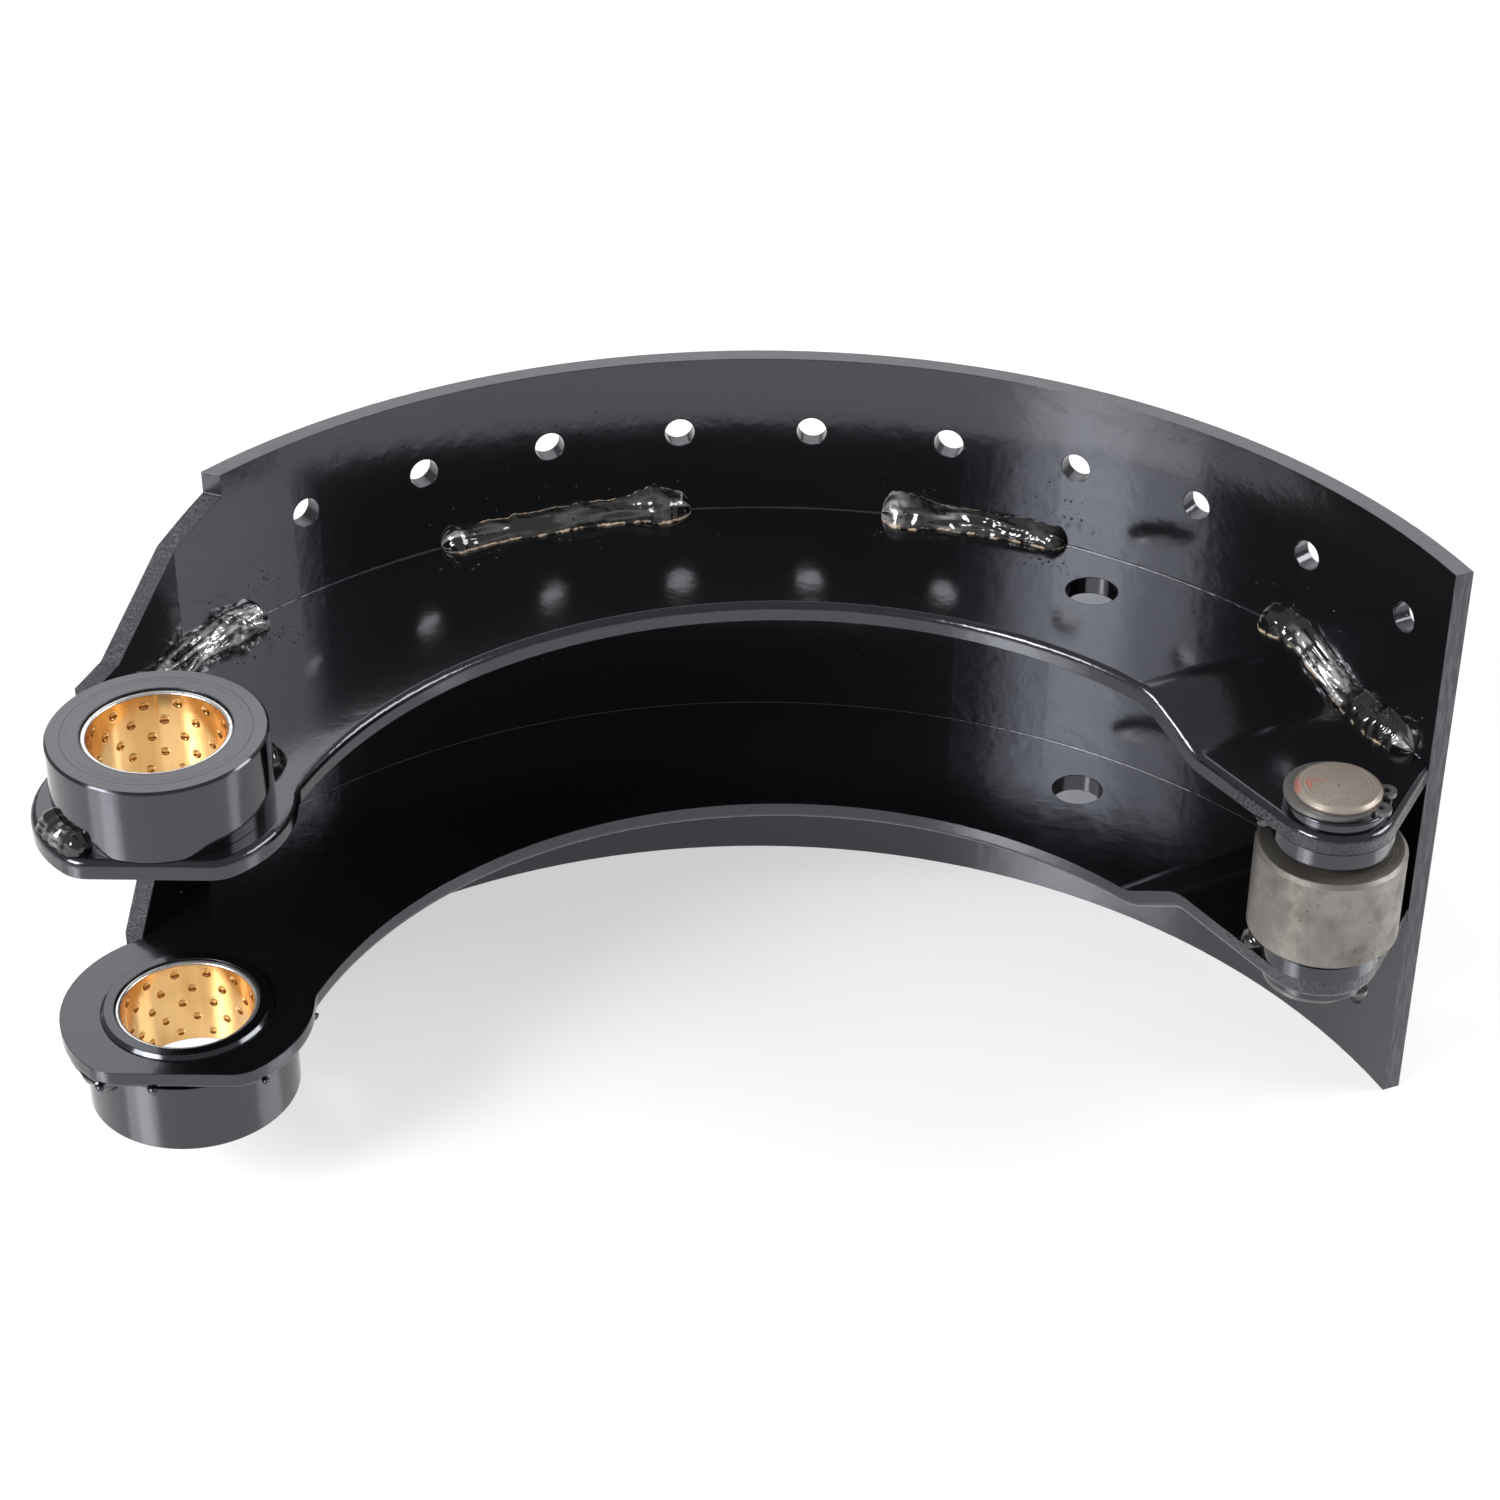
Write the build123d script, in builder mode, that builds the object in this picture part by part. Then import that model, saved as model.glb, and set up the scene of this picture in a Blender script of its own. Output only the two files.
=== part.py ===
"""Fabricated S-cam drum brake shoe for a heavy axle, without its lining.

A rolled table carries the lining. Two webs stand on its inside, and turn on the anchor pin through
bushed bosses at one end. At the other end a loose roller on a pin takes the push of the cam.
The origin is on the anchor axis, halfway between the webs, with +Z along that axis.
Angles are measured about the drum axis from +X, counter-clockwise seen from above.
"""

import os
from math import acos, asin, atan2, cos, degrees, hypot, radians, sin, sqrt, tan

from build123d import *

os.makedirs("parts", exist_ok=True)

# ---- driving dimensions, millimetres and degrees ----

# Drum and table
drum_diameter = 410.0
lining_thickness = 17.5
table_thickness = 5.0
table_width = 163.0
toe_angle = 23.4  # cam end of the table
heel_angle = 140.5  # where the full width ends, at the anchor end
crease_angle = 146.2  # where the rolled table becomes the flat tail

# Tail of the table, cut back round the anchor bosses
tail_offset = 24.5  # from the anchor axis to the tail's inner face
heel_end_width = 151.0
tail_width = 105.0
tail_shoulder = 32.0  # along the tail, from the crease to where its sides turn parallel
tail_notch_root = 14.0  # along the tail, from the crease to the middle of the notch
tail_notch_radius = 12.0
tail_clearance = 0.5

# Rivet holes for two linings
rivet_hole_diameter = 8.2
rivet_row_spacing = 119.0
rivet_pitch_angle = 11.4
rivet_middle_pitch_angle = 11.93
rivet_middle_angle = 80.6
rivets_per_lining = 5

# Webs
web_thickness = 5.0
web_gap = 60.0
web_arc_shift_x = 5.0  # the inner arc's centre, from the drum axis
web_arc_shift_y = 5.0
web_arc_bite = 2.5  # how deep the inner arc cuts into the circle of the anchor eye
web_arc_end_angle = 33.4  # where the inner arc gives way to the straight run to the pin eye
web_bend_radius = 9.0
joggle_depth = 10.0
joggle_length = 17.3
joggle_start = 30.7  # from the drum axis, across the bend lines
joggle_direction = 30.0  # of the bend lines
neck_radius = 8.0
web_edge_radius = 1.8  # the outer edges are rolled over by the blanking press
spring_hole_diameter = 14.0
spring_hole_depth = 18.3  # from the table's inner face
spring_hole_angle = 58.3

# Anchor eye, boss and bush
pivot_depth = 30.0  # of the anchor and roller pins, from the table's inner face
anchor_angle = 165.2
anchor_pin_diameter = 34.0
bush_wall = 1.5
bush_recess = 0.5
boss_diameter = 54.0
boss_height = 20.0
spigot_wall = 3.5
spigot_proud = 1.2
spigot_chamfer = 0.9
eye_radius = 32.3
eye_flat = 27.0
eye_corner_radius = 10.0
boss_chamfer = 0.6
bush_chamfer = 0.4

# Roller end
pin_angle = 21.5
pin_diameter = 22.0
pin_length = 61.2
pin_chamfer = 0.9
running_clearance = 0.05
roller_diameter = 38.5
roller_length = 26.0
roller_chamfer = 1.0
pin_boss_diameter = 31.0
pin_boss_height = 4.5
pin_spigot_wall = 2.4
pin_spigot_proud = 2.7  # the circlip lies on the spigot's end
pin_spigot_rounding = 0.6

# Circlip and its groove
groove_depth = 0.5
groove_width = 1.3
circlip_thickness = 1.2
circlip_wall = 2.0
circlip_lean = 1.1  # the ring is thickest opposite its gap
circlip_gap = 2.0
circlip_turn = -17.0  # where the gap points
circlip_ear_radius = 2.5
circlip_ear_angle = 19.0
circlip_ear_reach = 1.7  # from the groove's floor to the middle of an ear
circlip_hole_diameter = 2.0

# Welds
table_weld_leg = 6.8
table_weld_spans = ((137.3, 153.5), (97.0, 119.6), (63.6, 80.3), (25.6, 44.2))
boss_weld_leg = 4.4
boss_weld_spans = ((199.0, 238.0), (26.0, 50.0))
pin_boss_weld_leg = 4.2
pin_boss_weld_span = (144.0, 184.0)

# ---- sizes that follow ----

shoe_radius = drum_diameter / 2 - lining_thickness
seat_radius = shoe_radius - table_thickness
pivot_radius = seat_radius - pivot_depth
spring_hole_radius = seat_radius - spring_hole_depth
web_inner_z = web_gap / 2
web_outer_z = web_inner_z + web_thickness
bush_radius = anchor_pin_diameter / 2 + bush_wall
spigot_radius = bush_radius + spigot_wall
boss_radius = boss_diameter / 2
boss_face_z = web_outer_z + boss_height
spigot_end_z = web_inner_z - spigot_proud
pin_radius = pin_diameter / 2
pin_hole_radius = pin_radius + running_clearance
pin_spigot_radius = pin_hole_radius + pin_spigot_wall
pin_eye_radius = pin_boss_diameter / 2
pin_web_z = web_inner_z - joggle_depth
pin_web_outer_z = web_outer_z - joggle_depth
pin_spigot_end_z = pin_web_outer_z + pin_spigot_proud

drum_x = -pivot_radius * cos(radians(anchor_angle))
drum_y = -pivot_radius * sin(radians(anchor_angle))


def about_drum(radius, angle, z=0.0):
    """The point at a radius and an angle about the drum axis."""
    return Vector(drum_x + radius * cos(radians(angle)), drum_y + radius * sin(radians(angle)), z)


def along(angle):
    """The unit vector in the XY plane at an angle from +X."""
    return Vector(cos(radians(angle)), sin(radians(angle)))


anchor = Vector(0, 0)
drum_axis = Vector(drum_x, drum_y)
roller_axis = about_drum(pivot_radius, pin_angle)

# The tail runs from the crease in the direction that passes the anchor axis at its offset.
crease = about_drum(seat_radius, crease_angle)
crease_to_anchor = hypot(crease.X, crease.Y)
anchor_bearing = degrees(atan2(-crease.Y, -crease.X))
tail_angle = anchor_bearing - degrees(asin(tail_offset / crease_to_anchor))
tail_direction = along(tail_angle)
tail_normal = along(tail_angle - 90)
tail_to_anchor = sqrt(crease_to_anchor**2 - tail_offset**2)


def tail_reach(radius):
    """Distance from the crease at which the tail's inner face meets a circle about the anchor."""
    return tail_to_anchor - sqrt(max(radius**2 - tail_offset**2, 0.0))


ear_end = tail_reach(boss_radius + tail_clearance)
web_end = tail_reach(eye_radius) - tail_clearance


# ---- table ----


def table_section():
    """Edge view of the table: the rolled arc, the crease and the flat tail."""
    arc = crease_angle - toe_angle
    tail_end = crease + tail_direction * ear_end
    outer_tail_end = tail_end + tail_normal * table_thickness
    outer_tail_start = crease + tail_normal * table_thickness
    bend = tail_angle - 90 - crease_angle
    bend = (bend + 180) % 360 - 180
    with BuildSketch(Plane.XY) as section:
        with BuildLine():
            CenterArc(drum_axis, seat_radius, toe_angle, arc)
            Line(crease, tail_end)
            Line(tail_end, outer_tail_end)
            Line(outer_tail_end, outer_tail_start)
            CenterArc(crease, table_thickness, crease_angle, bend)
            CenterArc(drum_axis, shoe_radius, toe_angle, arc)
            Line(about_drum(seat_radius, toe_angle), about_drum(shoe_radius, toe_angle))
        make_face()
    return section.sketch


heel_plane = Plane(origin=crease, x_dir=tail_direction, z_dir=tail_normal)
heel_along = (about_drum(seat_radius, heel_angle) - crease).dot(tail_direction)
cut_reach = 25.0  # beyond what it cuts


def heel_outline():
    """What is kept of the tail, looking at its face: X along the tail from the crease, Y across."""
    half_end = heel_end_width / 2
    half_tail = tail_width / 2
    ear_inner = (web_outer_z + half_tail) / 2
    slot_outer = web_outer_z + tail_clearance
    slot_inner = web_inner_z - tail_clearance
    side = [
        (heel_along - cut_reach, half_end),
        (heel_along, half_end),
        (tail_shoulder, half_tail),
        (ear_end + cut_reach, half_tail),
        (ear_end + cut_reach, ear_inner),
        (ear_end, ear_inner),
        (web_end, slot_outer),
        (web_end, slot_inner),
        (tail_notch_root, 0),
    ]
    other_side = [(x, -y) for x, y in reversed(side[:-1])]
    with BuildSketch() as outline:
        with BuildLine():
            Polyline(*side, *other_side, close=True)
        make_face()
        root = outline.vertices().sort_by_distance((tail_notch_root, 0))[0]
        fillet(root, tail_notch_radius)
    return outline.sketch


def rivet_angles():
    """Angles of the rivets in one row, from the toe to the heel."""
    first = rivet_middle_pitch_angle / 2
    steps = [first + rivet_pitch_angle * i for i in range(rivets_per_lining)]
    return [rivet_middle_angle - s for s in reversed(steps)] + [rivet_middle_angle + s for s in steps]


with BuildPart() as shoe_table:
    add(table_section())
    extrude(amount=table_width / 2, both=True)
    # the diagonal flame cut, the parallel tail and the notch between the webs
    with BuildSketch(heel_plane):
        with Locations((heel_along, 0)):
            Rectangle(
                ear_end - heel_along + 2 * cut_reach,
                table_width + cut_reach,
                align=(Align.MIN, Align.CENTER),
            )
        add(heel_outline(), mode=Mode.SUBTRACT)
    extrude(amount=cut_reach, both=True, mode=Mode.SUBTRACT)
    rivet_planes = [
        Plane(origin=about_drum(shoe_radius, a, side * rivet_row_spacing / 2), z_dir=along(a))
        for a in rivet_angles()
        for side in (-1, 1)
    ]
    with Locations(*rivet_planes):
        Hole(rivet_hole_diameter / 2, depth=2 * table_thickness)
shoe_table.part.label = "shoe_table"


# ---- webs ----


rim_tolerance = 0.01


def tangent_angle(point, side):
    """Where, in degrees about the roller axis, a line from a point touches the pin eye."""
    away = point - roller_axis
    return degrees(atan2(away.Y, away.X) + side * acos(pin_eye_radius / away.length))


def web_outline():
    """Face view of a web: the arc, the anchor eye and the small eye round the roller pin."""
    arc_centre = drum_axis + Vector(web_arc_shift_x, web_arc_shift_y)
    web_inner_radius = arc_centre.length - eye_radius + web_arc_bite
    # the straight edge from the inner arc to the roller pin's eye
    arc_leave = arc_centre + along(web_arc_end_angle) * web_inner_radius
    join_angle = tangent_angle(arc_leave, 1)
    eye_join = roller_axis + along(join_angle) * pin_eye_radius
    # the straight end edge, from the table's end to the pin's eye
    toe = about_drum(seat_radius, toe_angle)
    end_angle = tangent_angle(toe, -1)
    eye_leave = roller_axis + along(end_angle) * pin_eye_radius
    leave = arc_leave - drum_axis
    leave_angle = degrees(atan2(leave.Y, leave.X))
    foot = crease + tail_direction * tail_to_anchor
    with BuildSketch(Plane.XY) as outline:
        # from the roller end round to the anchor
        with BuildLine():
            Line(drum_axis, about_drum(seat_radius, leave_angle))
            CenterArc(drum_axis, seat_radius, leave_angle, crease_angle - leave_angle)
            Polyline(crease, foot, anchor, drum_axis)
        make_face()
        with Locations(arc_centre):
            Circle(web_inner_radius, mode=Mode.SUBTRACT)
        # the roller end
        with BuildLine():
            Line(arc_leave, eye_join)
            CenterArc(roller_axis, pin_eye_radius, join_angle, (end_angle - join_angle) % 360)
            Line(eye_leave, toe)
            CenterArc(drum_axis, seat_radius, toe_angle, leave_angle - toe_angle)
            Line(about_drum(seat_radius, leave_angle), arc_leave)
        make_face()
        # the anchor eye, with its flat
        Circle(eye_radius)
        with Locations((0, -eye_flat)):
            Rectangle(4 * eye_radius, eye_radius, align=(Align.CENTER, Align.MAX), mode=Mode.SUBTRACT)
        for side in (-1, 1):
            flat_end = (side * sqrt(eye_radius**2 - eye_flat**2), -eye_flat)
            fillet(outline.vertices().sort_by_distance(flat_end)[0], eye_corner_radius)
        # the neck, where the eye runs into the inner arc
        on_eye = outline.vertices().filter_by(lambda v: abs(Vector(v).length - eye_radius) < rim_tolerance)
        fillet(on_eye.sort_by_distance(arc_centre)[0], neck_radius)
        # holes
        Circle(spigot_radius, mode=Mode.SUBTRACT)
        with Locations(roller_axis):
            Circle(pin_spigot_radius, mode=Mode.SUBTRACT)
        with Locations(about_drum(spring_hole_radius, spring_hole_angle)):
            Circle(spring_hole_diameter / 2, mode=Mode.SUBTRACT)
    return outline.sketch


# The joggle's bend lines are parallel. Across them, X runs from the drum axis, and Y is up.
bend_line = along(joggle_direction)
fold_plane = Plane(origin=drum_axis, x_dir=Vector(0, 0, 1).cross(bend_line), z_dir=bend_line)
fold_reach = 2 * shoe_radius


def fold_line(height, shift, radii):
    """One face of the joggled web, seen along the bend lines."""
    start = joggle_start + shift
    return FilletPolyline(
        (fold_reach, height),
        (start, height),
        (start - joggle_length, height - joggle_depth),
        (-fold_reach, height - joggle_depth),
        radius=radii,
    )


def fold_height(point):
    """Height of the web's outer face over a point of the XY plane."""
    across = (Vector(point.X, point.Y) - drum_axis).dot(fold_plane.x_dir)
    drop = min(max((joggle_start - across) / joggle_length, 0.0), 1.0)
    return web_outer_z - joggle_depth * drop


def folded_sheet():
    """Edge view of the joggled web, with a constant thickness round its bends."""
    shift = web_thickness * tan(atan2(joggle_depth, joggle_length) / 2)
    outer_radius = web_bend_radius + web_thickness
    with BuildSketch(fold_plane) as sheet:
        with BuildLine():
            outer = fold_line(web_outer_z, 0, [outer_radius, web_bend_radius])
            inner = fold_line(web_inner_z, shift, [web_bend_radius, outer_radius])
            Line(outer @ 0, inner @ 0)
            Line(outer @ 1, inner @ 1)
        make_face()
    return sheet.sketch


def above_web():
    """Edge view of the space over the web's outer face."""
    outer_radius = web_bend_radius + web_thickness
    ceiling = web_outer_z + shoe_radius
    with BuildSketch(fold_plane) as space:
        with BuildLine():
            outer = fold_line(web_outer_z, 0, [outer_radius, web_bend_radius])
            Polyline(outer @ 0, (fold_reach, ceiling), (-fold_reach, ceiling), outer @ 1)
        make_face()
    return space.sketch


web_blank = web_outline()
web_rim = web_blank.face().outer_wire()


def is_rolled(edge):
    """Whether an edge is on the web's outer face and its rim, and clear of the table."""
    middle = edge @ 0.5
    flat_middle = Vector(middle.X, middle.Y)
    on_rim = web_rim.distance_to(flat_middle) < rim_tolerance
    on_outer_face = all(
        abs((edge @ t).Z - fold_height(edge @ t)) < web_thickness / 4 for t in (0.2, 0.5, 0.8)
    )
    clear_of_arc = (flat_middle - drum_axis).length < seat_radius - rim_tolerance
    clear_of_tail = (flat_middle - crease).dot(tail_normal) < -rim_tolerance
    return on_rim and on_outer_face and clear_of_arc and clear_of_tail


with BuildPart() as web_upper:
    add(folded_sheet())
    extrude(amount=fold_reach, dir=fold_plane.z_dir, both=True)
    add(web_blank)
    extrude(amount=web_outer_z + web_thickness, mode=Mode.INTERSECT)
    fillet([edge for edge in web_upper.edges() if is_rolled(edge)], web_edge_radius)
web_upper.part.label = "web_upper"

with BuildPart() as web_lower:
    mirror(web_upper.part, about=Plane.XY)
web_lower.part.label = "web_lower"


# ---- anchor bosses and bushes ----

with BuildPart() as anchor_boss_upper:
    with BuildSketch(Plane.XZ):
        with BuildLine():
            Polyline(
                (bush_radius, spigot_end_z),
                (spigot_radius - spigot_chamfer, spigot_end_z),
                (spigot_radius, spigot_end_z + spigot_chamfer),
                (spigot_radius, web_outer_z),
                (boss_radius, web_outer_z),
                (boss_radius, boss_face_z - boss_chamfer),
                (boss_radius - boss_chamfer, boss_face_z),
                (bush_radius, boss_face_z),
                close=True,
            )
        make_face()
    revolve(axis=Axis.Z)
anchor_boss_upper.part.label = "anchor_boss_upper"

with BuildPart() as anchor_boss_lower:
    mirror(anchor_boss_upper.part, about=Plane.XY)
anchor_boss_lower.part.label = "anchor_boss_lower"

bush_bore_radius = anchor_pin_diameter / 2
bush_low_z = spigot_end_z + bush_recess
bush_high_z = boss_face_z - bush_recess

with BuildPart() as anchor_bush_upper:
    with BuildSketch(Plane.XZ):
        with BuildLine():
            Polyline(
                (bush_bore_radius, bush_low_z + bush_chamfer),
                (bush_bore_radius + bush_chamfer, bush_low_z),
                (bush_radius, bush_low_z),
                (bush_radius, bush_high_z),
                (bush_bore_radius + bush_chamfer, bush_high_z),
                (bush_bore_radius, bush_high_z - bush_chamfer),
                close=True,
            )
        make_face()
    revolve(axis=Axis.Z)
anchor_bush_upper.part.label = "anchor_bush_upper"

with BuildPart() as anchor_bush_lower:
    mirror(anchor_bush_upper.part, about=Plane.XY)
anchor_bush_lower.part.label = "anchor_bush_lower"


# ---- roller, its pin, and what holds them ----

roller_plane = Plane(origin=roller_axis)
roller_end_plane = Plane(origin=roller_axis, x_dir=(1, 0, 0), z_dir=(0, -1, 0))
roller_line = Axis(origin=roller_axis, direction=(0, 0, 1))
groove_low_z = pin_spigot_end_z
groove_high_z = groove_low_z + groove_width
pin_half = pin_length / 2

with BuildPart() as roller_pin:
    with BuildSketch(roller_end_plane):
        half = [
            (pin_radius - pin_chamfer, pin_half),
            (pin_radius, pin_half - pin_chamfer),
            (pin_radius, groove_high_z),
            (pin_radius - groove_depth, groove_high_z),
            (pin_radius - groove_depth, groove_low_z),
            (pin_radius, groove_low_z),
        ]
        other_half = [(x, -z) for x, z in reversed(half)]
        with BuildLine():
            Polyline((0, pin_half), *half, *other_half, (0, -pin_half), close=True)
        make_face()
    revolve(axis=roller_line)
roller_pin.part.label = "roller_pin"

with BuildPart() as cam_roller:
    with BuildSketch(roller_plane):
        Circle(roller_diameter / 2)
        Circle(pin_hole_radius, mode=Mode.SUBTRACT)
    extrude(amount=roller_length / 2, both=True)
    rims = cam_roller.edges().filter_by(GeomType.CIRCLE).group_by(SortBy.RADIUS)[-1]
    chamfer(rims, roller_chamfer)
cam_roller.part.label = "cam_roller"

with BuildPart() as pin_boss_upper:
    with BuildSketch(roller_end_plane):
        with BuildLine():
            Polyline(
                (pin_hole_radius, pin_web_z - pin_boss_height),
                (pin_eye_radius, pin_web_z - pin_boss_height),
                (pin_eye_radius, pin_web_z),
                (pin_spigot_radius, pin_web_z),
                (pin_spigot_radius, pin_spigot_end_z),
                (pin_hole_radius, pin_spigot_end_z),
                close=True,
            )
        make_face()
    revolve(axis=roller_line)
    spigot_end = pin_boss_upper.edges().filter_by(GeomType.CIRCLE).group_by(Axis.Z)[-1]
    fillet(spigot_end.sort_by(SortBy.RADIUS)[-1], pin_spigot_rounding)
pin_boss_upper.part.label = "pin_boss_upper"

with BuildPart() as pin_boss_lower:
    mirror(pin_boss_upper.part, about=Plane.XY)
pin_boss_lower.part.label = "pin_boss_lower"

groove_radius = pin_radius - groove_depth
circlip_radius = groove_radius + circlip_wall
ear_centre_radius = groove_radius + circlip_ear_reach

with BuildPart() as circlip_upper:
    seat = Vector(roller_axis.X, roller_axis.Y, pin_spigot_end_z)
    with BuildSketch(Plane(origin=seat, x_dir=along(circlip_turn), z_dir=(0, 0, 1))):
        with Locations((-circlip_lean, 0)):
            Circle(circlip_radius)
        for side in (-1, 1):
            with Locations(along(side * circlip_ear_angle) * ear_centre_radius):
                Circle(circlip_ear_radius)
        Circle(groove_radius, mode=Mode.SUBTRACT)
        Rectangle(
            2 * circlip_radius, circlip_gap, align=(Align.MIN, Align.CENTER), mode=Mode.SUBTRACT
        )
        for side in (-1, 1):
            with Locations(along(side * circlip_ear_angle) * ear_centre_radius):
                Circle(circlip_hole_diameter / 2, mode=Mode.SUBTRACT)
    extrude(amount=circlip_thickness)
circlip_upper.part.label = "circlip_upper"

with BuildPart() as circlip_lower:
    mirror(circlip_upper.part, about=Plane.XY)
circlip_lower.part.label = "circlip_lower"


# ---- welds ----


def web_corner(angle):
    """Point of the corner between the table and a web's outer face. Past the crease it is on the tail."""
    if angle > crease_angle:
        point = crease + tail_direction * (radians(angle - crease_angle) * seat_radius)
    else:
        point = about_drum(seat_radius, angle)
    return Vector(point.X, point.Y, fold_height(point))


def inside_table():
    """Face view of the space on the concave side of the table."""
    foot = crease + tail_direction * tail_to_anchor
    with BuildSketch(Plane.XY) as space:
        with BuildLine():
            CenterArc(drum_axis, seat_radius, toe_angle, crease_angle - toe_angle)
            Polyline(crease, foot, anchor, drum_axis, about_drum(seat_radius, toe_angle))
        make_face()
    return space.sketch


table_space = inside_table()
web_space = above_web()
weld_path_points = 7
table_welds = []
for number, (start, end) in enumerate(table_weld_spans, 1):
    round_end = degrees(table_weld_leg / seat_radius)
    length = end - start - 2 * round_end
    stations = [start + round_end + length * i / (weld_path_points - 1) for i in range(weld_path_points)]
    corner_points = [web_corner(a) for a in stations]
    with BuildPart() as bead:
        with BuildLine() as corner:
            Spline(*corner_points)
        with BuildSketch(Plane(origin=corner.line @ 0, z_dir=corner.line % 0)):
            Circle(table_weld_leg)
        sweep(path=corner.line)
        with Locations(corner_points[0], corner_points[-1]):
            Sphere(table_weld_leg)
        add(table_space)
        extrude(amount=table_width / 2, mode=Mode.INTERSECT)
        add(web_space)
        extrude(amount=fold_reach, dir=fold_plane.z_dir, both=True, mode=Mode.INTERSECT)
    bead.part.label = f"table_weld_upper_{number}"
    with BuildPart() as mirrored:
        mirror(bead.part, about=Plane.XY)
    mirrored.part.label = f"table_weld_lower_{number}"
    table_welds += [bead.part, mirrored.part]


def ring_weld(centre, radius, face_z, leg, span, away):
    """A short fillet weld in the corner between a round boss and a web face.

    away is 1 where the boss stands up from the face, and -1 where it hangs below it.
    """
    level = Plane(origin=(centre.X, centre.Y, face_z))
    round_end = degrees(leg / radius)
    first, last = span[0] + round_end, span[1] - round_end
    ends = [centre + along(a) * radius for a in (first, last)]
    with BuildPart() as bead:
        with BuildLine() as corner:
            CenterArc((centre.X, centre.Y, face_z), radius, first, last - first)
        with BuildSketch(Plane(origin=corner.line @ 0, z_dir=corner.line % 0)):
            Circle(leg)
        sweep(path=corner.line)
        with Locations(*[(p.X, p.Y, face_z) for p in ends]):
            Sphere(leg)
        with BuildSketch(level):
            Circle(radius + 2 * leg)
            Circle(radius, mode=Mode.SUBTRACT)
        extrude(amount=away * 2 * leg, mode=Mode.INTERSECT)
    return bead.part


boss_welds = []
for number, span in enumerate(boss_weld_spans, 1):
    bead = ring_weld(anchor, boss_radius, web_outer_z, boss_weld_leg, span, 1)
    bead.label = f"boss_weld_upper_{number}"
    with BuildPart() as mirrored:
        mirror(bead, about=Plane.XY)
    mirrored.part.label = f"boss_weld_lower_{number}"
    boss_welds += [bead, mirrored.part]

pin_boss_bead = ring_weld(
    roller_axis, pin_eye_radius, pin_web_z, pin_boss_weld_leg, pin_boss_weld_span, -1
)
pin_boss_bead.label = "pin_boss_weld_upper"
with BuildPart() as pin_boss_weld_lower:
    mirror(pin_boss_bead, about=Plane.XY)
pin_boss_weld_lower.part.label = "pin_boss_weld_lower"

# ---- files ----

pieces = [
    shoe_table.part,
    web_upper.part,
    web_lower.part,
    anchor_boss_upper.part,
    anchor_boss_lower.part,
    anchor_bush_upper.part,
    anchor_bush_lower.part,
    roller_pin.part,
    cam_roller.part,
    pin_boss_upper.part,
    pin_boss_lower.part,
    circlip_upper.part,
    circlip_lower.part,
    *table_welds,
    *boss_welds,
    pin_boss_bead,
    pin_boss_weld_lower.part,
]

for piece in pieces:
    export_step(piece, f"parts/{piece.label}.step")
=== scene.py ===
"""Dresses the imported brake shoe: paint, bare metal, weld beads and bush linings, on a pale studio floor."""

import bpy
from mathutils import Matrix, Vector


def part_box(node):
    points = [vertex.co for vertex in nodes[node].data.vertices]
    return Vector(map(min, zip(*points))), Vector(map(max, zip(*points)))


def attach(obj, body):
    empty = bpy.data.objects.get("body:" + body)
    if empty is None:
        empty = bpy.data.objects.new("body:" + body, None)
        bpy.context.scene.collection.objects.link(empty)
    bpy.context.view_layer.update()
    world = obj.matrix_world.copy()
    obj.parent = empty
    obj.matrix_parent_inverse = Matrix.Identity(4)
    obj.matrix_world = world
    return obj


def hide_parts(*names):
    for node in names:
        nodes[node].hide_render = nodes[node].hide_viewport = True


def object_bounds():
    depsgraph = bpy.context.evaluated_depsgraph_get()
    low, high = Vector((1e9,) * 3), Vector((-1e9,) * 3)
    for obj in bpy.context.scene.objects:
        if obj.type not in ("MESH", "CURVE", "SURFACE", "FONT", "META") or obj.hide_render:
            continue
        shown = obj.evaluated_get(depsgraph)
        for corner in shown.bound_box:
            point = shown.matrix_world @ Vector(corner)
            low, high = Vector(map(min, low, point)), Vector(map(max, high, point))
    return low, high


bl_info = {
    "name": "Brake Shoe",
    "version": (1, 0, 0),
    "blender": (4, 5, 0),
    "location": "View3D > Sidebar > Brake Shoe",
    "description": "Finishes and small formed pieces of a drum brake shoe",
    "category": "Object",
}

from math import atan2, cos, hypot, pi, radians, sin, sqrt
from random import Random

import bpy
from mathutils import Matrix, Vector, noise

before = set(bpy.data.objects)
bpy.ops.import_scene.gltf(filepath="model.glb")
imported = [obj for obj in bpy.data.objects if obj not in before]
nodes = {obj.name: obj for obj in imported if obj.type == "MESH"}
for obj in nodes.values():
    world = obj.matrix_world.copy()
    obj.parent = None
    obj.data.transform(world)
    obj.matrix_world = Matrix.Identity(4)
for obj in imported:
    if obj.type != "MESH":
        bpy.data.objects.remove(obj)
cad_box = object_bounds()


def middle(node):
    """Centre of a CAD node's box."""
    low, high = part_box(node)
    return Vector([(a + b) / 2 for a, b in zip(low, high)])


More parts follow.
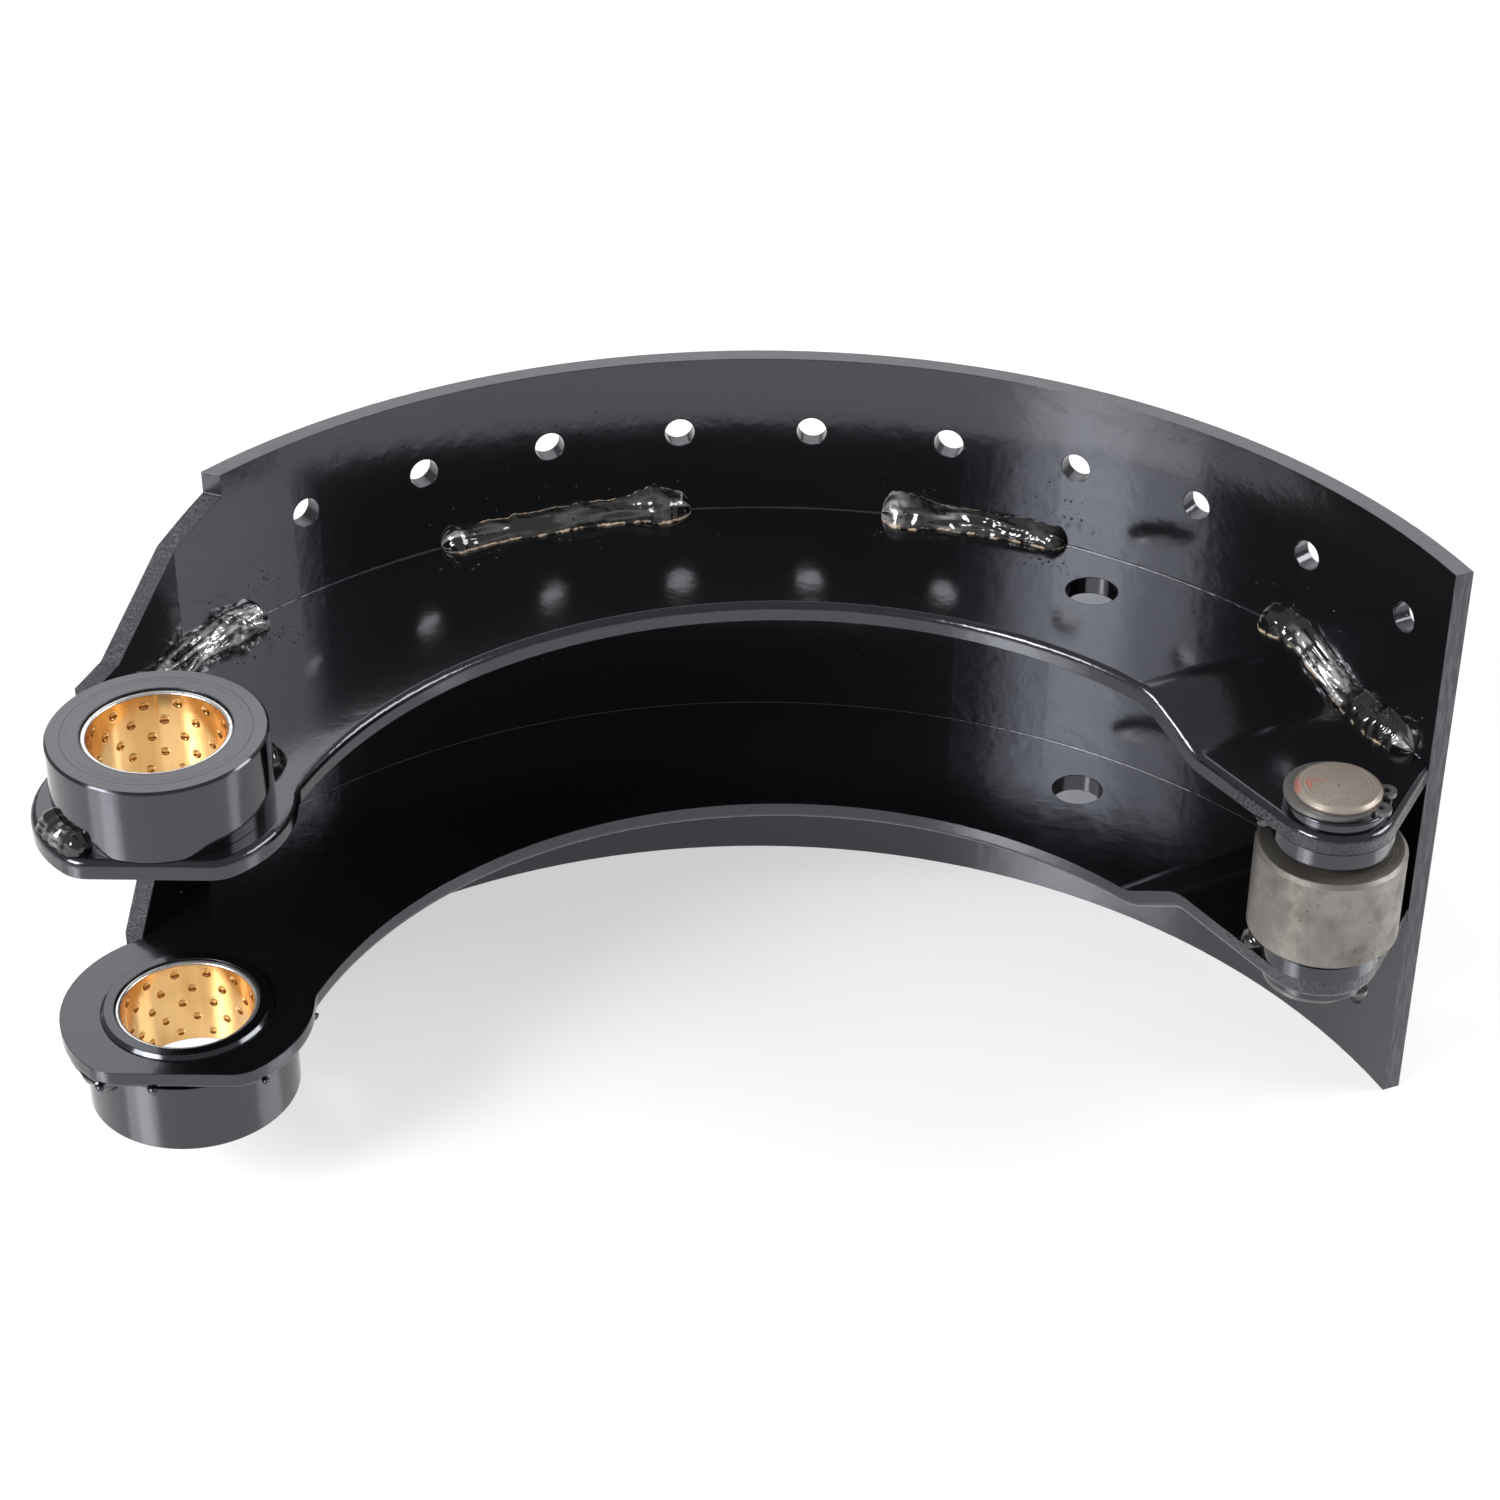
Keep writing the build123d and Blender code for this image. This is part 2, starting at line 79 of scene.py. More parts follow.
# The shoe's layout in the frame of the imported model, in metres. Names in _ANGLE are in degrees where
# they go to about_drum, and in radians otherwise.
PIVOT_RADIUS = 0.1525
ANCHOR_ANGLE = radians(165.2)
DRUM_AXIS = Vector((-PIVOT_RADIUS * cos(ANCHOR_ANGLE), -PIVOT_RADIUS * sin(ANCHOR_ANGLE), 0.0))
ANCHOR_AXIS = Vector((0.0, 0.0, 0.0))
ROLLER_AXIS = middle("cam_roller")
SEAT_RADIUS = 0.1825
CREASE_ANGLE = 146.2
TAIL_OFFSET = 0.0245
TABLE_HALF_WIDTH = 0.0815
SHOULDER = -0.0165  # where the tail leaves the full width, along the tail from the crease
CAM_END_ANGLE = radians(23.4)
CAM_END_NORMAL = (sin(CAM_END_ANGLE), -cos(CAM_END_ANGLE), 0.0)
WEB_FACE = 0.035
WEB_INNER_FACE = 0.030
JOGGLE_DEPTH = 0.010
JOGGLE_LENGTH = 0.0173
JOGGLE_START = 0.0307
JOGGLE_ANGLE = radians(120.0)
BEND_REACH = 0.12  # how far the rounded bends reach past the joggle, as a share of its length
BEND_EASE = 0.35
JOGGLE_ACROSS = Vector((cos(JOGGLE_ANGLE), sin(JOGGLE_ANGLE), 0.0))
BOSS_RADIUS = 0.027
PIN_BOSS_RADIUS = 0.0155
TURNED_FROM = 0.045  # a height that only the anchor bosses' outer ends are beyond
BUSH_BORE = 0.017
BUSH_BACK = 0.0185
SIDES = (("upper", False), ("lower", True))  # name, and whether it mirrors the upper one


def about_drum(radius, angle):
    """The point at a radius and an angle in degrees about the drum axis."""
    return DRUM_AXIS + Vector((cos(radians(angle)), sin(radians(angle)), 0.0)) * radius


CREASE = about_drum(SEAT_RADIUS, CREASE_ANGLE)
TAIL_ANGLE = atan2(-CREASE.y, -CREASE.x)
TAIL_ANGLE -= atan2(TAIL_OFFSET, sqrt(CREASE.length_squared - TAIL_OFFSET**2))
TAIL_DIRECTION = Vector((cos(TAIL_ANGLE), sin(TAIL_ANGLE), 0.0))
TAIL_NORMAL = Vector((sin(TAIL_ANGLE), -cos(TAIL_ANGLE), 0.0))


def flipped(vector):
    """A point or direction mirrored about the middle plane."""
    return Vector((vector.x, vector.y, -vector.z))


def ease(t):
    """0 to 1, with a smooth start and end."""
    t = min(max(t, 0.0), 1.0)
    return t * t * (3 - 2 * t)


def hump(t, centre, width):
    """1 at a centre, easing to 0 a width away."""
    return ease(1 - abs(t - centre) / width)


def web_height(point):
    """Height of a web's outer face over a point, with its joggle eased at both bends."""
    across = (point - DRUM_AXIS).dot(JOGGLE_ACROSS)
    t = (JOGGLE_START - across) / JOGGLE_LENGTH
    t = min(max((t + BEND_REACH) / (1 + 2 * BEND_REACH), 0.0), 1.0)
    return WEB_FACE - JOGGLE_DEPTH * (BEND_EASE * ease(t) + (1 - BEND_EASE) * t)


# Materials. Scales of noise are in features a metre, and depths of relief in metres.


class Graph:
    """A new material or world, with ways to add nodes to its tree and to join them."""

    def __init__(self, name, kind="materials"):
        self.owner = getattr(bpy.data, kind).new(name)
        self.owner.use_nodes = True
        self.tree = self.owner.node_tree
        self.place = self.add("ShaderNodeTexCoord", {})["Object"]

    def feed(self, socket, value):
        """Links an output to a socket, or sets the socket's own value."""
        if isinstance(value, bpy.types.NodeSocket):
            self.tree.links.new(value, socket)
        else:
            socket.default_value = value

    def add(self, kind, inputs, **settings):
        """Adds a node, feeds its inputs by name or number, and returns its outputs."""
        node = self.tree.nodes.new(kind)
        for name, value in settings.items():
            setattr(node, name, value)
        for name, value in inputs.items():
            self.feed(node.inputs[name], value)
        return node.outputs

    def math(self, operation, *values):
        return self.add("ShaderNodeMath", dict(enumerate(values)), operation=operation)[0]

    def vector_math(self, operation, *values):
        return self.add("ShaderNodeVectorMath", dict(enumerate(values)), operation=operation)

    def times(self, first, *others):
        for other in others:
            first = self.math("MULTIPLY", first, other)
        return first

    def plus(self, first, second):
        return self.math("ADD", first, second)

    def rest_of(self, value):
        """What a value leaves of 1."""
        return self.math("SUBTRACT", 1.0, value)

    def size_of(self, value):
        return self.math("ABSOLUTE", value)

    def dot(self, vector, direction):
        return self.vector_math("DOT_PRODUCT", vector, direction)["Value"]

    def shifted(self, offset):
        """The object's coordinates, measured from a point."""
        return self.vector_math("SUBTRACT", self.place, offset)[0]

    def split(self, vector):
        return self.add("ShaderNodeSeparateXYZ", {0: vector})

    def turned(self, centre):
        """Coordinates from a centre, and the distance from the upright axis through it."""
        parts = self.split(self.shifted(centre))
        squares = [self.math("POWER", parts[i], 2.0) for i in range(2)]
        return parts, self.math("SQRT", self.plus(*squares))

    def normal(self):
        return self.add("ShaderNodeNewGeometry", {})["Normal"]

    def upright(self):
        """1 on faces that lie flat, 0 on walls."""
        return self.size_of(self.split(self.normal())[2])

    def drawn(self, title):
        """A value that the mesh holds at its points."""
        return self.add("ShaderNodeAttribute", {}, attribute_name=title)["Fac"]

    def noise(self, scale, detail=2.0, roughness=0.5, stretch=None):
        place = self.vector_math("MULTIPLY", self.place, stretch)[0] if stretch else self.place
        inputs = {"Vector": place, "Scale": scale, "Detail": detail, "Roughness": roughness}
        return self.add("ShaderNodeTexNoise", inputs)["Fac"]

    def rings(self, radius, pitch, detail=3.0):
        """Uneven turned rings along a radius."""
        inputs = {"W": self.times(radius, 1.0 / pitch), "Scale": 1.0, "Detail": detail}
        return self.add("ShaderNodeTexNoise", inputs, noise_dimensions="1D")["Fac"]

    def specks(self, scale, inner, outer):
        """Small round specks: 1 within the inner distance of a cell's middle, 0 past the outer one."""
        outputs = self.add("ShaderNodeTexVoronoi", {"Vector": self.place, "Scale": scale})
        return self.rest_of(self.step(outputs["Distance"], inner, outer))

    def patch(self, x, y, middle_x, middle_y, half_x, half_y):
        """1 inside an ellipse, fading to 0 over its edge."""
        across = self.times(self.math("SUBTRACT", x, middle_x), 1.0 / half_x)
        along = self.times(self.math("SUBTRACT", y, middle_y), 1.0 / half_y)
        reach = self.plus(self.math("POWER", across, 2.0), self.math("POWER", along, 2.0))
        return self.rest_of(self.step(reach, 0.7, 1.5))

    def step(self, value, low, high):
        """0 below low, 1 above high, and smooth between."""
        inputs = {"Value": value, "From Min": low, "From Max": high}
        return self.add("ShaderNodeMapRange", inputs, interpolation_type="SMOOTHSTEP")["Result"]

    def between(self, value, low, high):
        """Maps 0 to 1 onto low to high."""
        return self.add("ShaderNodeMapRange", {"Value": value, "To Min": low, "To Max": high})["Result"]

    def blend(self, factor, first, second):
        """Mixes two colours, which are sockets 6 and 7 of the node."""
        return self.add("ShaderNodeMix", {0: factor, 6: first, 7: second}, data_type="RGBA")[2]

    def bump(self, height, depth, below=None):
        """Bump of a depth in metres, on top of another normal."""
        inputs = {"Height": height, "Distance": depth}
        if below is not None:
            inputs["Normal"] = below
        return self.add("ShaderNodeBump", inputs)["Normal"]

    def rounded(self, radius):
        """Normal with its sharp edges softened, as a film of paint leaves them."""
        return self.add("ShaderNodeBevel", {"Radius": radius}, samples=6)["Normal"]

    def rays(self):
        return self.add("ShaderNodeLightPath", {})

    def for_camera(self, seen, elsewhere):
        """One level where the camera looks, and another for what lights the shoe and what it mirrors."""
        return self.between(self.rays()["Is Camera Ray"], elsewhere, seen)

    def finish(self, shader="Principled BSDF", **inputs):
        """Feeds the shader's inputs, and returns the material or world."""
        for name, value in inputs.items():
            self.feed(self.tree.nodes[shader].inputs[name.replace("_", " ")], value)
        return self.owner

    def finish_gloss(self, settings, **inputs):
        """Finishes the material with the black gloss's own shine."""
        return self.finish(IOR=settings.paint_ior, Specular_Tint=settings.gloss_colour, **inputs)


def grey(level, blue=None):
    """An opaque grey, with its own level of blue where it has one."""
    return (level, level, level if blue is None else blue, 1.0)


EDGE_ROUND = 0.0004  # how far the paint film rounds an edge


def paint_film(graph):
    """The gloss film's own relief: faint orange peel, and a few specks of dust under it."""
    peel = graph.bump(graph.noise(150.0, 2.0, 0.55), 0.00007, graph.rounded(EDGE_ROUND))
    fine = graph.bump(graph.noise(620.0, 2.0, 0.5), 0.00001, peel)
    dust = graph.specks(330.0, 0.02, 0.11)
    dusty = graph.step(graph.noise(95.0, 1.0), 0.55, 0.7)
    return graph.bump(graph.times(dust, dusty), 0.00004, fine)


def patchy_paint(graph, settings, patches):
    """Colour and roughness of the gloss, which is a little thinner in patches."""
    colour = graph.blend(patches, settings.paint_colour, settings.paint_light_colour)
    rough = settings.paint_roughness
    return colour, graph.between(patches, rough * 0.8, rough * 1.25)


def gloss_paint(settings):
    """Black gloss paint on the webs, grainy over the sheared rim of the pin's eye."""
    graph = Graph("black_gloss_web")
    colour, roughness = patchy_paint(graph, settings, graph.noise(26.0, 3.0, 0.6))
    rim = graph.rest_of(graph.step(graph.upright(), 0.1, 0.5))
    from_pin = graph.vector_math("LENGTH", graph.shifted(ROLLER_AXIS))["Value"]
    eye_rim = graph.times(rim, graph.rest_of(graph.step(from_pin, 0.031, 0.037)))
    grain = graph.noise(950.0, 3.0, 0.6)
    shear = graph.noise(900.0, 2.0, 0.5, stretch=(1.0, 1.0, 0.4))
    relief = graph.bump(graph.times(grain, eye_rim), 0.00055, paint_film(graph))
    relief = graph.bump(graph.times(shear, rim), 0.000015, relief)
    return graph.finish_gloss(settings, Base_Color=colour, Roughness=roughness, Normal=relief)


def table_paint(settings):
    """Black gloss paint on the table, thin and coarse over its sheared rim and its flame-cut tail."""
    graph = Graph("black_gloss_table")
    film_colour, film_roughness = patchy_paint(graph, settings, graph.noise(22.0, 3.0, 0.6))
    normal = graph.normal()
    # the flame-cut faces stand square to the tail's own, past the shoulder and inside the full width
    along_tail = graph.dot(graph.shifted(CREASE), TAIL_DIRECTION)
    square = graph.size_of(graph.dot(normal, TAIL_NORMAL))
    from_middle = graph.size_of(graph.split(graph.place)[2])
    cut = graph.times(
        graph.math("LESS_THAN", square, 0.45),
        graph.math("LESS_THAN", from_middle, TABLE_HALF_WIDTH - 0.002),
        graph.math("GREATER_THAN", along_tail, SHOULDER),
    )
    # the rim along both sides
    flat = graph.size_of(graph.split(normal)[2])
    rim = graph.times(graph.step(flat, 0.8, 0.95), graph.rest_of(cut))
    # the sheared face at the cam end lies in a plane through the drum axis
    from_end = graph.dot(graph.shifted(DRUM_AXIS), CAM_END_NORMAL)
    end = graph.times(
        graph.step(from_end, -0.00025, -0.00008),
        graph.step(graph.dot(normal, CAM_END_NORMAL), 0.6, 0.9),
    )
    grit = graph.noise(1500.0, 3.0, 0.65)
    slag = graph.noise(420.0, 3.0, 0.6)
    rim_grain = graph.noise(900.0, 3.0, 0.6, stretch=(0.35, 0.35, 1.0))
    end_grain = graph.noise(1100.0, 3.0, 0.6, stretch=(1.0, 1.0, 0.12))
    cut_colour = graph.blend(graph.step(grit, 0.5, 0.62), grey(0.005, 0.006), grey(0.07, 0.075))
    rim_colour = graph.blend(rim_grain, grey(0.018, 0.02), grey(0.055, 0.058))
    end_colour = graph.blend(graph.step(end_grain, 0.4, 0.62), grey(0.016, 0.018), grey(0.085, 0.09))
    colour = graph.blend(end, graph.blend(rim, film_colour, rim_colour), end_colour)
    sheared = graph.times(graph.math("MAXIMUM", rim, end), 0.24)
    rough = graph.plus(film_roughness, sheared)
    relief = graph.bump(graph.times(rim_grain, rim), 0.00012, paint_film(graph))
    relief = graph.bump(graph.times(end_grain, end), 0.00012, relief)
    relief = graph.bump(graph.times(graph.plus(slag, grit), cut), 0.0006, relief)
    return graph.finish_gloss(
        settings,
        Base_Color=graph.blend(cut, colour, cut_colour),
        Roughness=graph.plus(rough, graph.times(cut, 0.22)),
        Normal=relief,
    )


def turned_paint(settings, name, centre, turned_from):
    """Thin gloss over turned steel: rings on end faces beyond a height, smooth and black elsewhere."""
    graph = Graph(name)
    parts, radius = graph.turned(centre)
    outer = graph.math("GREATER_THAN", graph.size_of(parts[2]), turned_from)
    end_face = graph.times(graph.step(graph.upright(), 0.75, 0.95), outer)
    rings = graph.rings(radius, 0.00045)
    lines = graph.step(graph.rings(radius, 0.0012, 2.0), 0.62, 0.67)
    film = graph.bump(graph.noise(210.0, 2.0, 0.5), 0.00004, graph.rounded(EDGE_ROUND))
    relief = graph.bump(graph.times(rings, end_face), 0.00007, film)
    relief = graph.bump(graph.times(lines, end_face), 0.00007, relief)
    worn = graph.times(graph.between(rings, 0.7, 1.0), graph.rest_of(graph.times(lines, 0.5)))
    return graph.finish_gloss(
        settings,
        Base_Color=graph.blend(graph.times(worn, end_face), settings.paint_colour, settings.turned_colour),
        Roughness=graph.between(end_face, 0.11, 0.34),
        Normal=relief,
    )


def bead_paint(settings):
    """Gloss over a weld bead, thin and silver over parts of it, which paints highlights on its ridges there,
    and broken along its toes to bare metal.
    """
    graph = Graph("weld_gloss")
    fray = graph.times(graph.math("SUBTRACT", graph.noise(1400.0, 3.0, 0.7), 0.5), 1.1)
    ragged = graph.plus(graph.drawn("toe"), fray)
    present = graph.step(graph.noise(230.0, 2.0, 0.6), 0.47, 0.56)
    bare = graph.times(graph.step(ragged, 0.55, 0.75), present)
    soot = graph.noise(900.0, 3.0, 0.6)
    bare_colour = graph.blend(soot, settings.bare_toe_colour, (0.22, 0.13, 0.07, 1.0))
    # silver film: partly thin paint over metal, partly a painted highlight, near white on the ridges and
    # black in the valleys
    silver_and_highlight = graph.times(graph.drawn("film_and_highlight"), graph.step(graph.noise(300.0, 2.0, 0.5), 0.30, 0.50))
    film_colour = graph.blend(silver_and_highlight, (0.004, 0.0038, 0.0038, 1.0), (0.98, 0.97, 0.96, 1.0))
    crinkle = graph.bump(graph.noise(420.0, 2.0, 0.5), 0.00011)
    crinkle = graph.bump(graph.noise(1300.0, 2.0, 0.5), 0.00003, crinkle)
    return graph.finish(
        Base_Color=graph.blend(bare, film_colour, bare_colour),
        Metallic=graph.times(silver_and_highlight, graph.rest_of(bare)),
        Roughness=graph.plus(graph.between(bare, 0.08, 0.42), graph.times(silver_and_highlight, 0.08)),
        IOR=settings.paint_ior,
        Normal=crinkle,
    )


def bronze_lining(settings):
    """Bright bronze, rolled smooth round the bore, browner in its grease pockets."""
    graph = Graph("bronze_lining")
    streaks = graph.noise(1.0, 3.0, 0.55, stretch=(160.0, 160.0, 14.0))
    stain = graph.times(graph.plus(streaks, graph.noise(70.0, 2.0, 0.5)), 0.5)
    clean = graph.blend(graph.step(stain, 0.36, 0.66), settings.bronze_colour, settings.bronze_deep_colour)
    pocket = graph.step(graph.drawn("pocket"), 0.3, 0.95)
    return graph.finish(
        Base_Color=graph.blend(pocket, clean, settings.bronze_pocket_colour),
        Metallic=0.95,
        Roughness=graph.between(streaks, 0.13, 0.24),
        Normal=graph.bump(streaks, 0.00003, graph.bump(graph.noise(110.0), 0.00005)),
    )


def bare_steel(name, colour, dark_colour, roughness, centre, ring_pitch=None):
    """Bare metal, handled on its wall and turned on its ends, as a graph that can go on.

    Returns the graph, the coordinates from its centre and the base colour.
    """
    graph = Graph(name)
    parts, radius = graph.turned(centre)
    mottle = graph.step(graph.noise(130.0, 5.0, 0.68), 0.32, 0.70)
    clouds = graph.step(graph.noise(48.0, 3.0, 0.55), 0.36, 0.66)
    stained = graph.times(graph.specks(300.0, 0.06, 0.20), graph.step(graph.noise(80.0, 2.0), 0.46, 0.62))
    colours = graph.blend(graph.times(graph.plus(mottle, clouds), 0.5), colour, dark_colour)
    colours = graph.blend(graph.times(stained, 0.55), colours, (0.07, 0.055, 0.045, 1.0))
    relief = graph.bump(graph.noise(2200.0, 2.0, 0.6), 0.00003, graph.rounded(EDGE_ROUND))
    relief = graph.bump(mottle, 0.00004, relief)
    if ring_pitch:
        end_face = graph.step(graph.upright(), 0.75, 0.95)
        relief = graph.bump(graph.times(graph.rings(radius, ring_pitch), end_face), 0.0001, relief)
    graph.finish(
        Base_Color=colours,
        Metallic=0.85,
        Roughness=graph.between(mottle, roughness * 0.85, roughness * 1.2),
        Normal=relief,
    )
    return graph, parts, colours


# An inspector's dab of red on the pin's end: middle x and y, half width and half height of each stroke.
RED_DAB = (
    (-0.0056, 0.0024, 0.0027, 0.0005),
    (-0.0074, 0.0004, 0.0008, 0.0020),
    (-0.0102, 0.0004, 0.0009, 0.0032),
)


def pin_metal(settings):
    """The roller pin's steel, with a dab of red paint on its upper end."""
    graph, parts, colours = bare_steel(
        "pin_steel", settings.pin_colour, settings.pin_dark_colour, 0.36, ROLLER_AXIS, 0.0006
    )
    wobble = graph.times(graph.math("SUBTRACT", graph.noise(700.0, 3.0, 0.65), 0.5), 0.0022)
    x, y = graph.plus(parts[0], wobble), graph.math("SUBTRACT", parts[1], wobble)
    strokes = [graph.patch(x, y, *stroke) for stroke in RED_DAB]
    dab = graph.math("MAXIMUM", graph.math("MAXIMUM", *strokes[:2]), strokes[2])
    thin = graph.step(graph.noise(1500.0, 3.0, 0.7), 0.32, 0.62)
    upper = graph.math("GREATER_THAN", parts[2], 0.0)
    dab = graph.times(dab, upper, graph.between(thin, 0.1, 0.62))
    return graph.finish(Base_Color=graph.blend(dab, colours, (0.62, 0.10, 0.07, 1.0)), Metallic=0.5)


def clip_steel():
    """Dark phosphated spring steel."""
    graph = Graph("clip_steel")
    mottle = graph.noise(900.0, 3.0, 0.6)
    return graph.finish(
        Base_Color=graph.blend(mottle, (0.11, 0.108, 0.105, 1.0), (0.20, 0.195, 0.19, 1.0)),
        Metallic=0.55,
        Roughness=graph.between(mottle, 0.26, 0.4),
        Normal=graph.bump(mottle, 0.00003, graph.rounded(0.0001)),
    )


# Meshes


def dress(material, *names):
    """Gives CAD nodes their material."""
    for name in names:
        slots = nodes[name].data.materials
        if len(slots) == 0:
            slots.append(material)
        for index in range(len(slots)):
            slots[index] = material


def add_object(name, data):
    """A new object in the scene."""
    item = bpy.data.objects.new(name, data)
    bpy.context.scene.collection.objects.link(item)
    return item


def make_piece(
    name, vertices, faces, materials, replaced=(), face_materials=None, attributes=None, body="shoe"
):
    """A smooth-shaded mesh that rides on a body and stands for CAD nodes."""
    mesh = bpy.data.meshes.new(name)
    mesh.from_pydata([tuple(v) for v in vertices], [], faces)
    for material in materials:
        mesh.materials.append(material)
    if face_materials:
        mesh.polygons.foreach_set("material_index", face_materials)
    mesh.polygons.foreach_set("use_smooth", [True] * len(mesh.polygons))
    for title, values in (attributes or {}).items():
        layer = mesh.attributes.new(title, "FLOAT", "POINT")
        layer.data.foreach_set("value", values)
    mesh.update()
    piece = add_object(name, mesh)
    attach(piece, body)
    if replaced:
        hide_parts(*replaced)
    return piece


def closed_run(rows, columns, flip):
    """Faces of a run of closed sections that is stored row by row, with both of its ends shut."""
    faces = []
    for a in range(0, (rows - 1) * columns, columns):
        for j in range(a, a + columns - 1):
            faces.append((j, j + columns, j + columns + 1, j + 1))
    for a in range(0, (rows - 1) * columns, columns):
        faces.append((a, a + columns - 1, a + 2 * columns - 1, a + columns))
    last = (rows - 1) * columns
    faces.append(tuple(range(columns)))
    faces.append(tuple(range(last + columns - 1, last - 1, -1)))
    return [face[::-1] for face in faces] if flip else faces


def wander(position, seed):
    """Smooth random value from -1 to 1 along a line."""
    return noise.noise(Vector((position, seed * 7.31, seed * 3.17)))


def uneven(distance, *waves):
    """A factor about 1 that wanders along a line, from waves of depth, pace a metre and seed."""
    return sum((depth * wander(distance * pace, seed) for depth, pace, seed in waves), 1.0)


# How a weld bead is formed, in metres where it isn't a share.
BEAD_SIDES = 30
END_SHARE = 0.8  # of its leg, over which a bead closes
LEAST_LEG = 0.00005
FULLNESS = 0.27  # how far it stands over a flat fillet
FOLD_PITCH, FOLD_HEIGHT, FOLD_FRONT = 0.0115, 0.00040, 0.20
CRESCENT_PITCH, CRESCENT_HEIGHT = 0.0014, 0.00006
SMALL_LUMP = 0.00012
ROOT_DEPTH = 0.0004  # how far its own corner lies inside the metal
BARE_END = 0.0010


def bead_points(stations, web_leg, wall_leg, seed, lump, shape):
    """Grid of points on a fillet bead.

    A station is (corner point, direction along the web's face, direction up the wall, distance).
    A shape gives a size, a depth of creases, a depth of ripples and a share of silver film with painted
    highlight, each along the bead from 0 to 1, and how bare its toes are.
    """
    size_at, crease_at, ripple_at, film_and_highlight_at, bareness = shape
    length = stations[-1][3]
    points, toes, films_and_highlights = [], [], []
    for corner, outwards, upwards, distance in stations:
        t = distance / length
        from_end = min(distance, length - distance)
        closing = sqrt(max(1.0 - (1.0 - min(from_end / (END_SHARE * web_leg), 1.0)) ** 2, 0.0))
        size = closing * size_at(t)
        web_side = web_leg * size * uneven(distance, (0.20, 130, seed), (0.10, 480, seed + 5))
        wall_side = wall_leg * size * uneven(distance, (0.18, 140, seed + 9), (0.10, 440, seed + 3))
        web_side, wall_side = max(web_side, LEAST_LEG), max(wall_side, LEAST_LEG)
        for j in range(BEAD_SIDES + 1):
            turn = (pi / 2) * j / BEAD_SIDES
            swell = sin(2 * turn)
            flat = web_side * wall_side / (web_side * sin(turn) + wall_side * cos(turn))
            # thick folds, each laid over the last one with a steep front
            place = distance + 0.0030 * swell + 0.0028 * wander(distance * 90, seed + 1)
            fold = (place / FOLD_PITCH + 0.37 * seed) % 1.0
            front = ease((fold - 1.0 + FOLD_FRONT) / FOLD_FRONT)
            folds = FOLD_HEIGHT * swell * fold**0.7 * (1.0 - front) / (1.0 + 3.0 * ripple_at(t))
            # fine crescents, where the bead cooled slowly
            wave = sin(2 * pi * (distance + 0.0042 * swell) / CRESCENT_PITCH)
            crescents = CRESCENT_HEIGHT * ripple_at(t) * swell * wave
            lumps = noise.noise(corner * 160 + Vector((turn * 0.8, seed * 2.0, 0.0)))
            small_lumps = noise.noise(corner * 520 + Vector((turn * 3.0, 1.0, seed * 1.7)))
            rough = lump * swell * lumps + SMALL_LUMP * swell * small_lumps
            # creases that run along the bead, a little aslant
            flow = distance * 60 + turn * 1.2
            ridge = 0.7 - 3.0 * abs(noise.noise(Vector((flow, turn * 2.1 - distance * 50, seed * 3.7))))
            ridge += 0.2 - 0.7 * abs(noise.noise(Vector((flow * 2.3, turn * 4.6, seed * 5.1))))
            reach = flat * (1.0 + FULLNESS * swell)
            reach += (folds + crescents + rough + crease_at(t) * ridge * swell) * closing
            reach = max(reach, flat * 0.75)
            points.append(corner + outwards * (cos(turn) * reach) + upwards * (sin(turn) * reach))
            edge = 1.25 * max(1.0 - turn / 0.28, 0.0) + max(1.0 - (pi / 2 - turn) / 0.12, 0.0)
            ends = 1.0 - min(from_end / BARE_END, 1.0)
            toes.append(min(edge + 0.6 * ends, 1.15) * bareness)
            # silver film and painted highlight: bright on the ridges, none in the valleys and at the root
            films_and_highlights.append(min(film_and_highlight_at(t) * (0.25 + swell) * ease(0.35 + 1.3 * ridge), 1.0))
        points.append(corner - (outwards + upwards) * ROOT_DEPTH)
        toes.append(0.0)
        films_and_highlights.append(0.0)
    return points, toes, films_and_highlights


def lay_bead(name, stations, legs, seed, lump, shape, material, replaced, mirrored):
    """A weld bead, closed all round, or its mirror image below the middle plane."""
    points, toes, films_and_highlights = bead_points(stations, *legs, seed, lump, shape)
    if mirrored:
        points = [flipped(p) for p in points]
    faces = closed_run(len(stations), BEAD_SIDES + 2, mirrored)
    make_piece(
        name, points, faces, [material], [replaced], attributes={"toe": toes, "film_and_highlight": films_and_highlights}
    )


def lay_seam(name, stations, leg, seed, material, flip):
    """A thin concave run of paint in a corner."""
    points, steps = [], 5
    for corner, outwards, upwards, distance in stations:
        reach = leg * uneven(distance, (0.35, 90, seed), (0.25, 700, seed + 4))
        for j in range(steps + 1):
            turn = (pi / 2) * j / steps
            out, up = reach * (1 - sin(turn)), reach * (1 - cos(turn))
            points.append(corner + outwards * out + upwards * up)
        points.append(corner - (outwards + upwards) * 0.0003)
    make_piece(name, points, closed_run(len(stations), steps + 2, flip), [material])


def corner_stations(start, end, spacing=0.0002, below=0.0):
    """Stations along the corner between the table and a web's outer face, or its inner face, below it."""
    count = int(radians(end - start) * SEAT_RADIUS / spacing) + 1
    places = []
    for i in range(count + 1):
        angle = start + (end - start) * i / count
        if angle > CREASE_ANGLE:
            point = CREASE + TAIL_DIRECTION * (radians(angle - CREASE_ANGLE) * SEAT_RADIUS)
            inwards = -TAIL_NORMAL
        else:
            point = about_drum(SEAT_RADIUS, angle)
            inwards = (DRUM_AXIS - point).normalized()
        point.z = web_height(point) - below
        places.append((point, inwards))
    stations, distance = [], 0.0
    for i, (point, inwards) in enumerate(places):
        before, after = places[max(i - 1, 0)][0], places[min(i + 1, count)][0]
        if i:
            distance += (point - before).length
        upwards = (after - before).cross(inwards).normalized()
        if (upwards.z > 0) == (below > 0):
            upwards = -upwards
        stations.append((point, inwards, upwards, distance))
    return stations


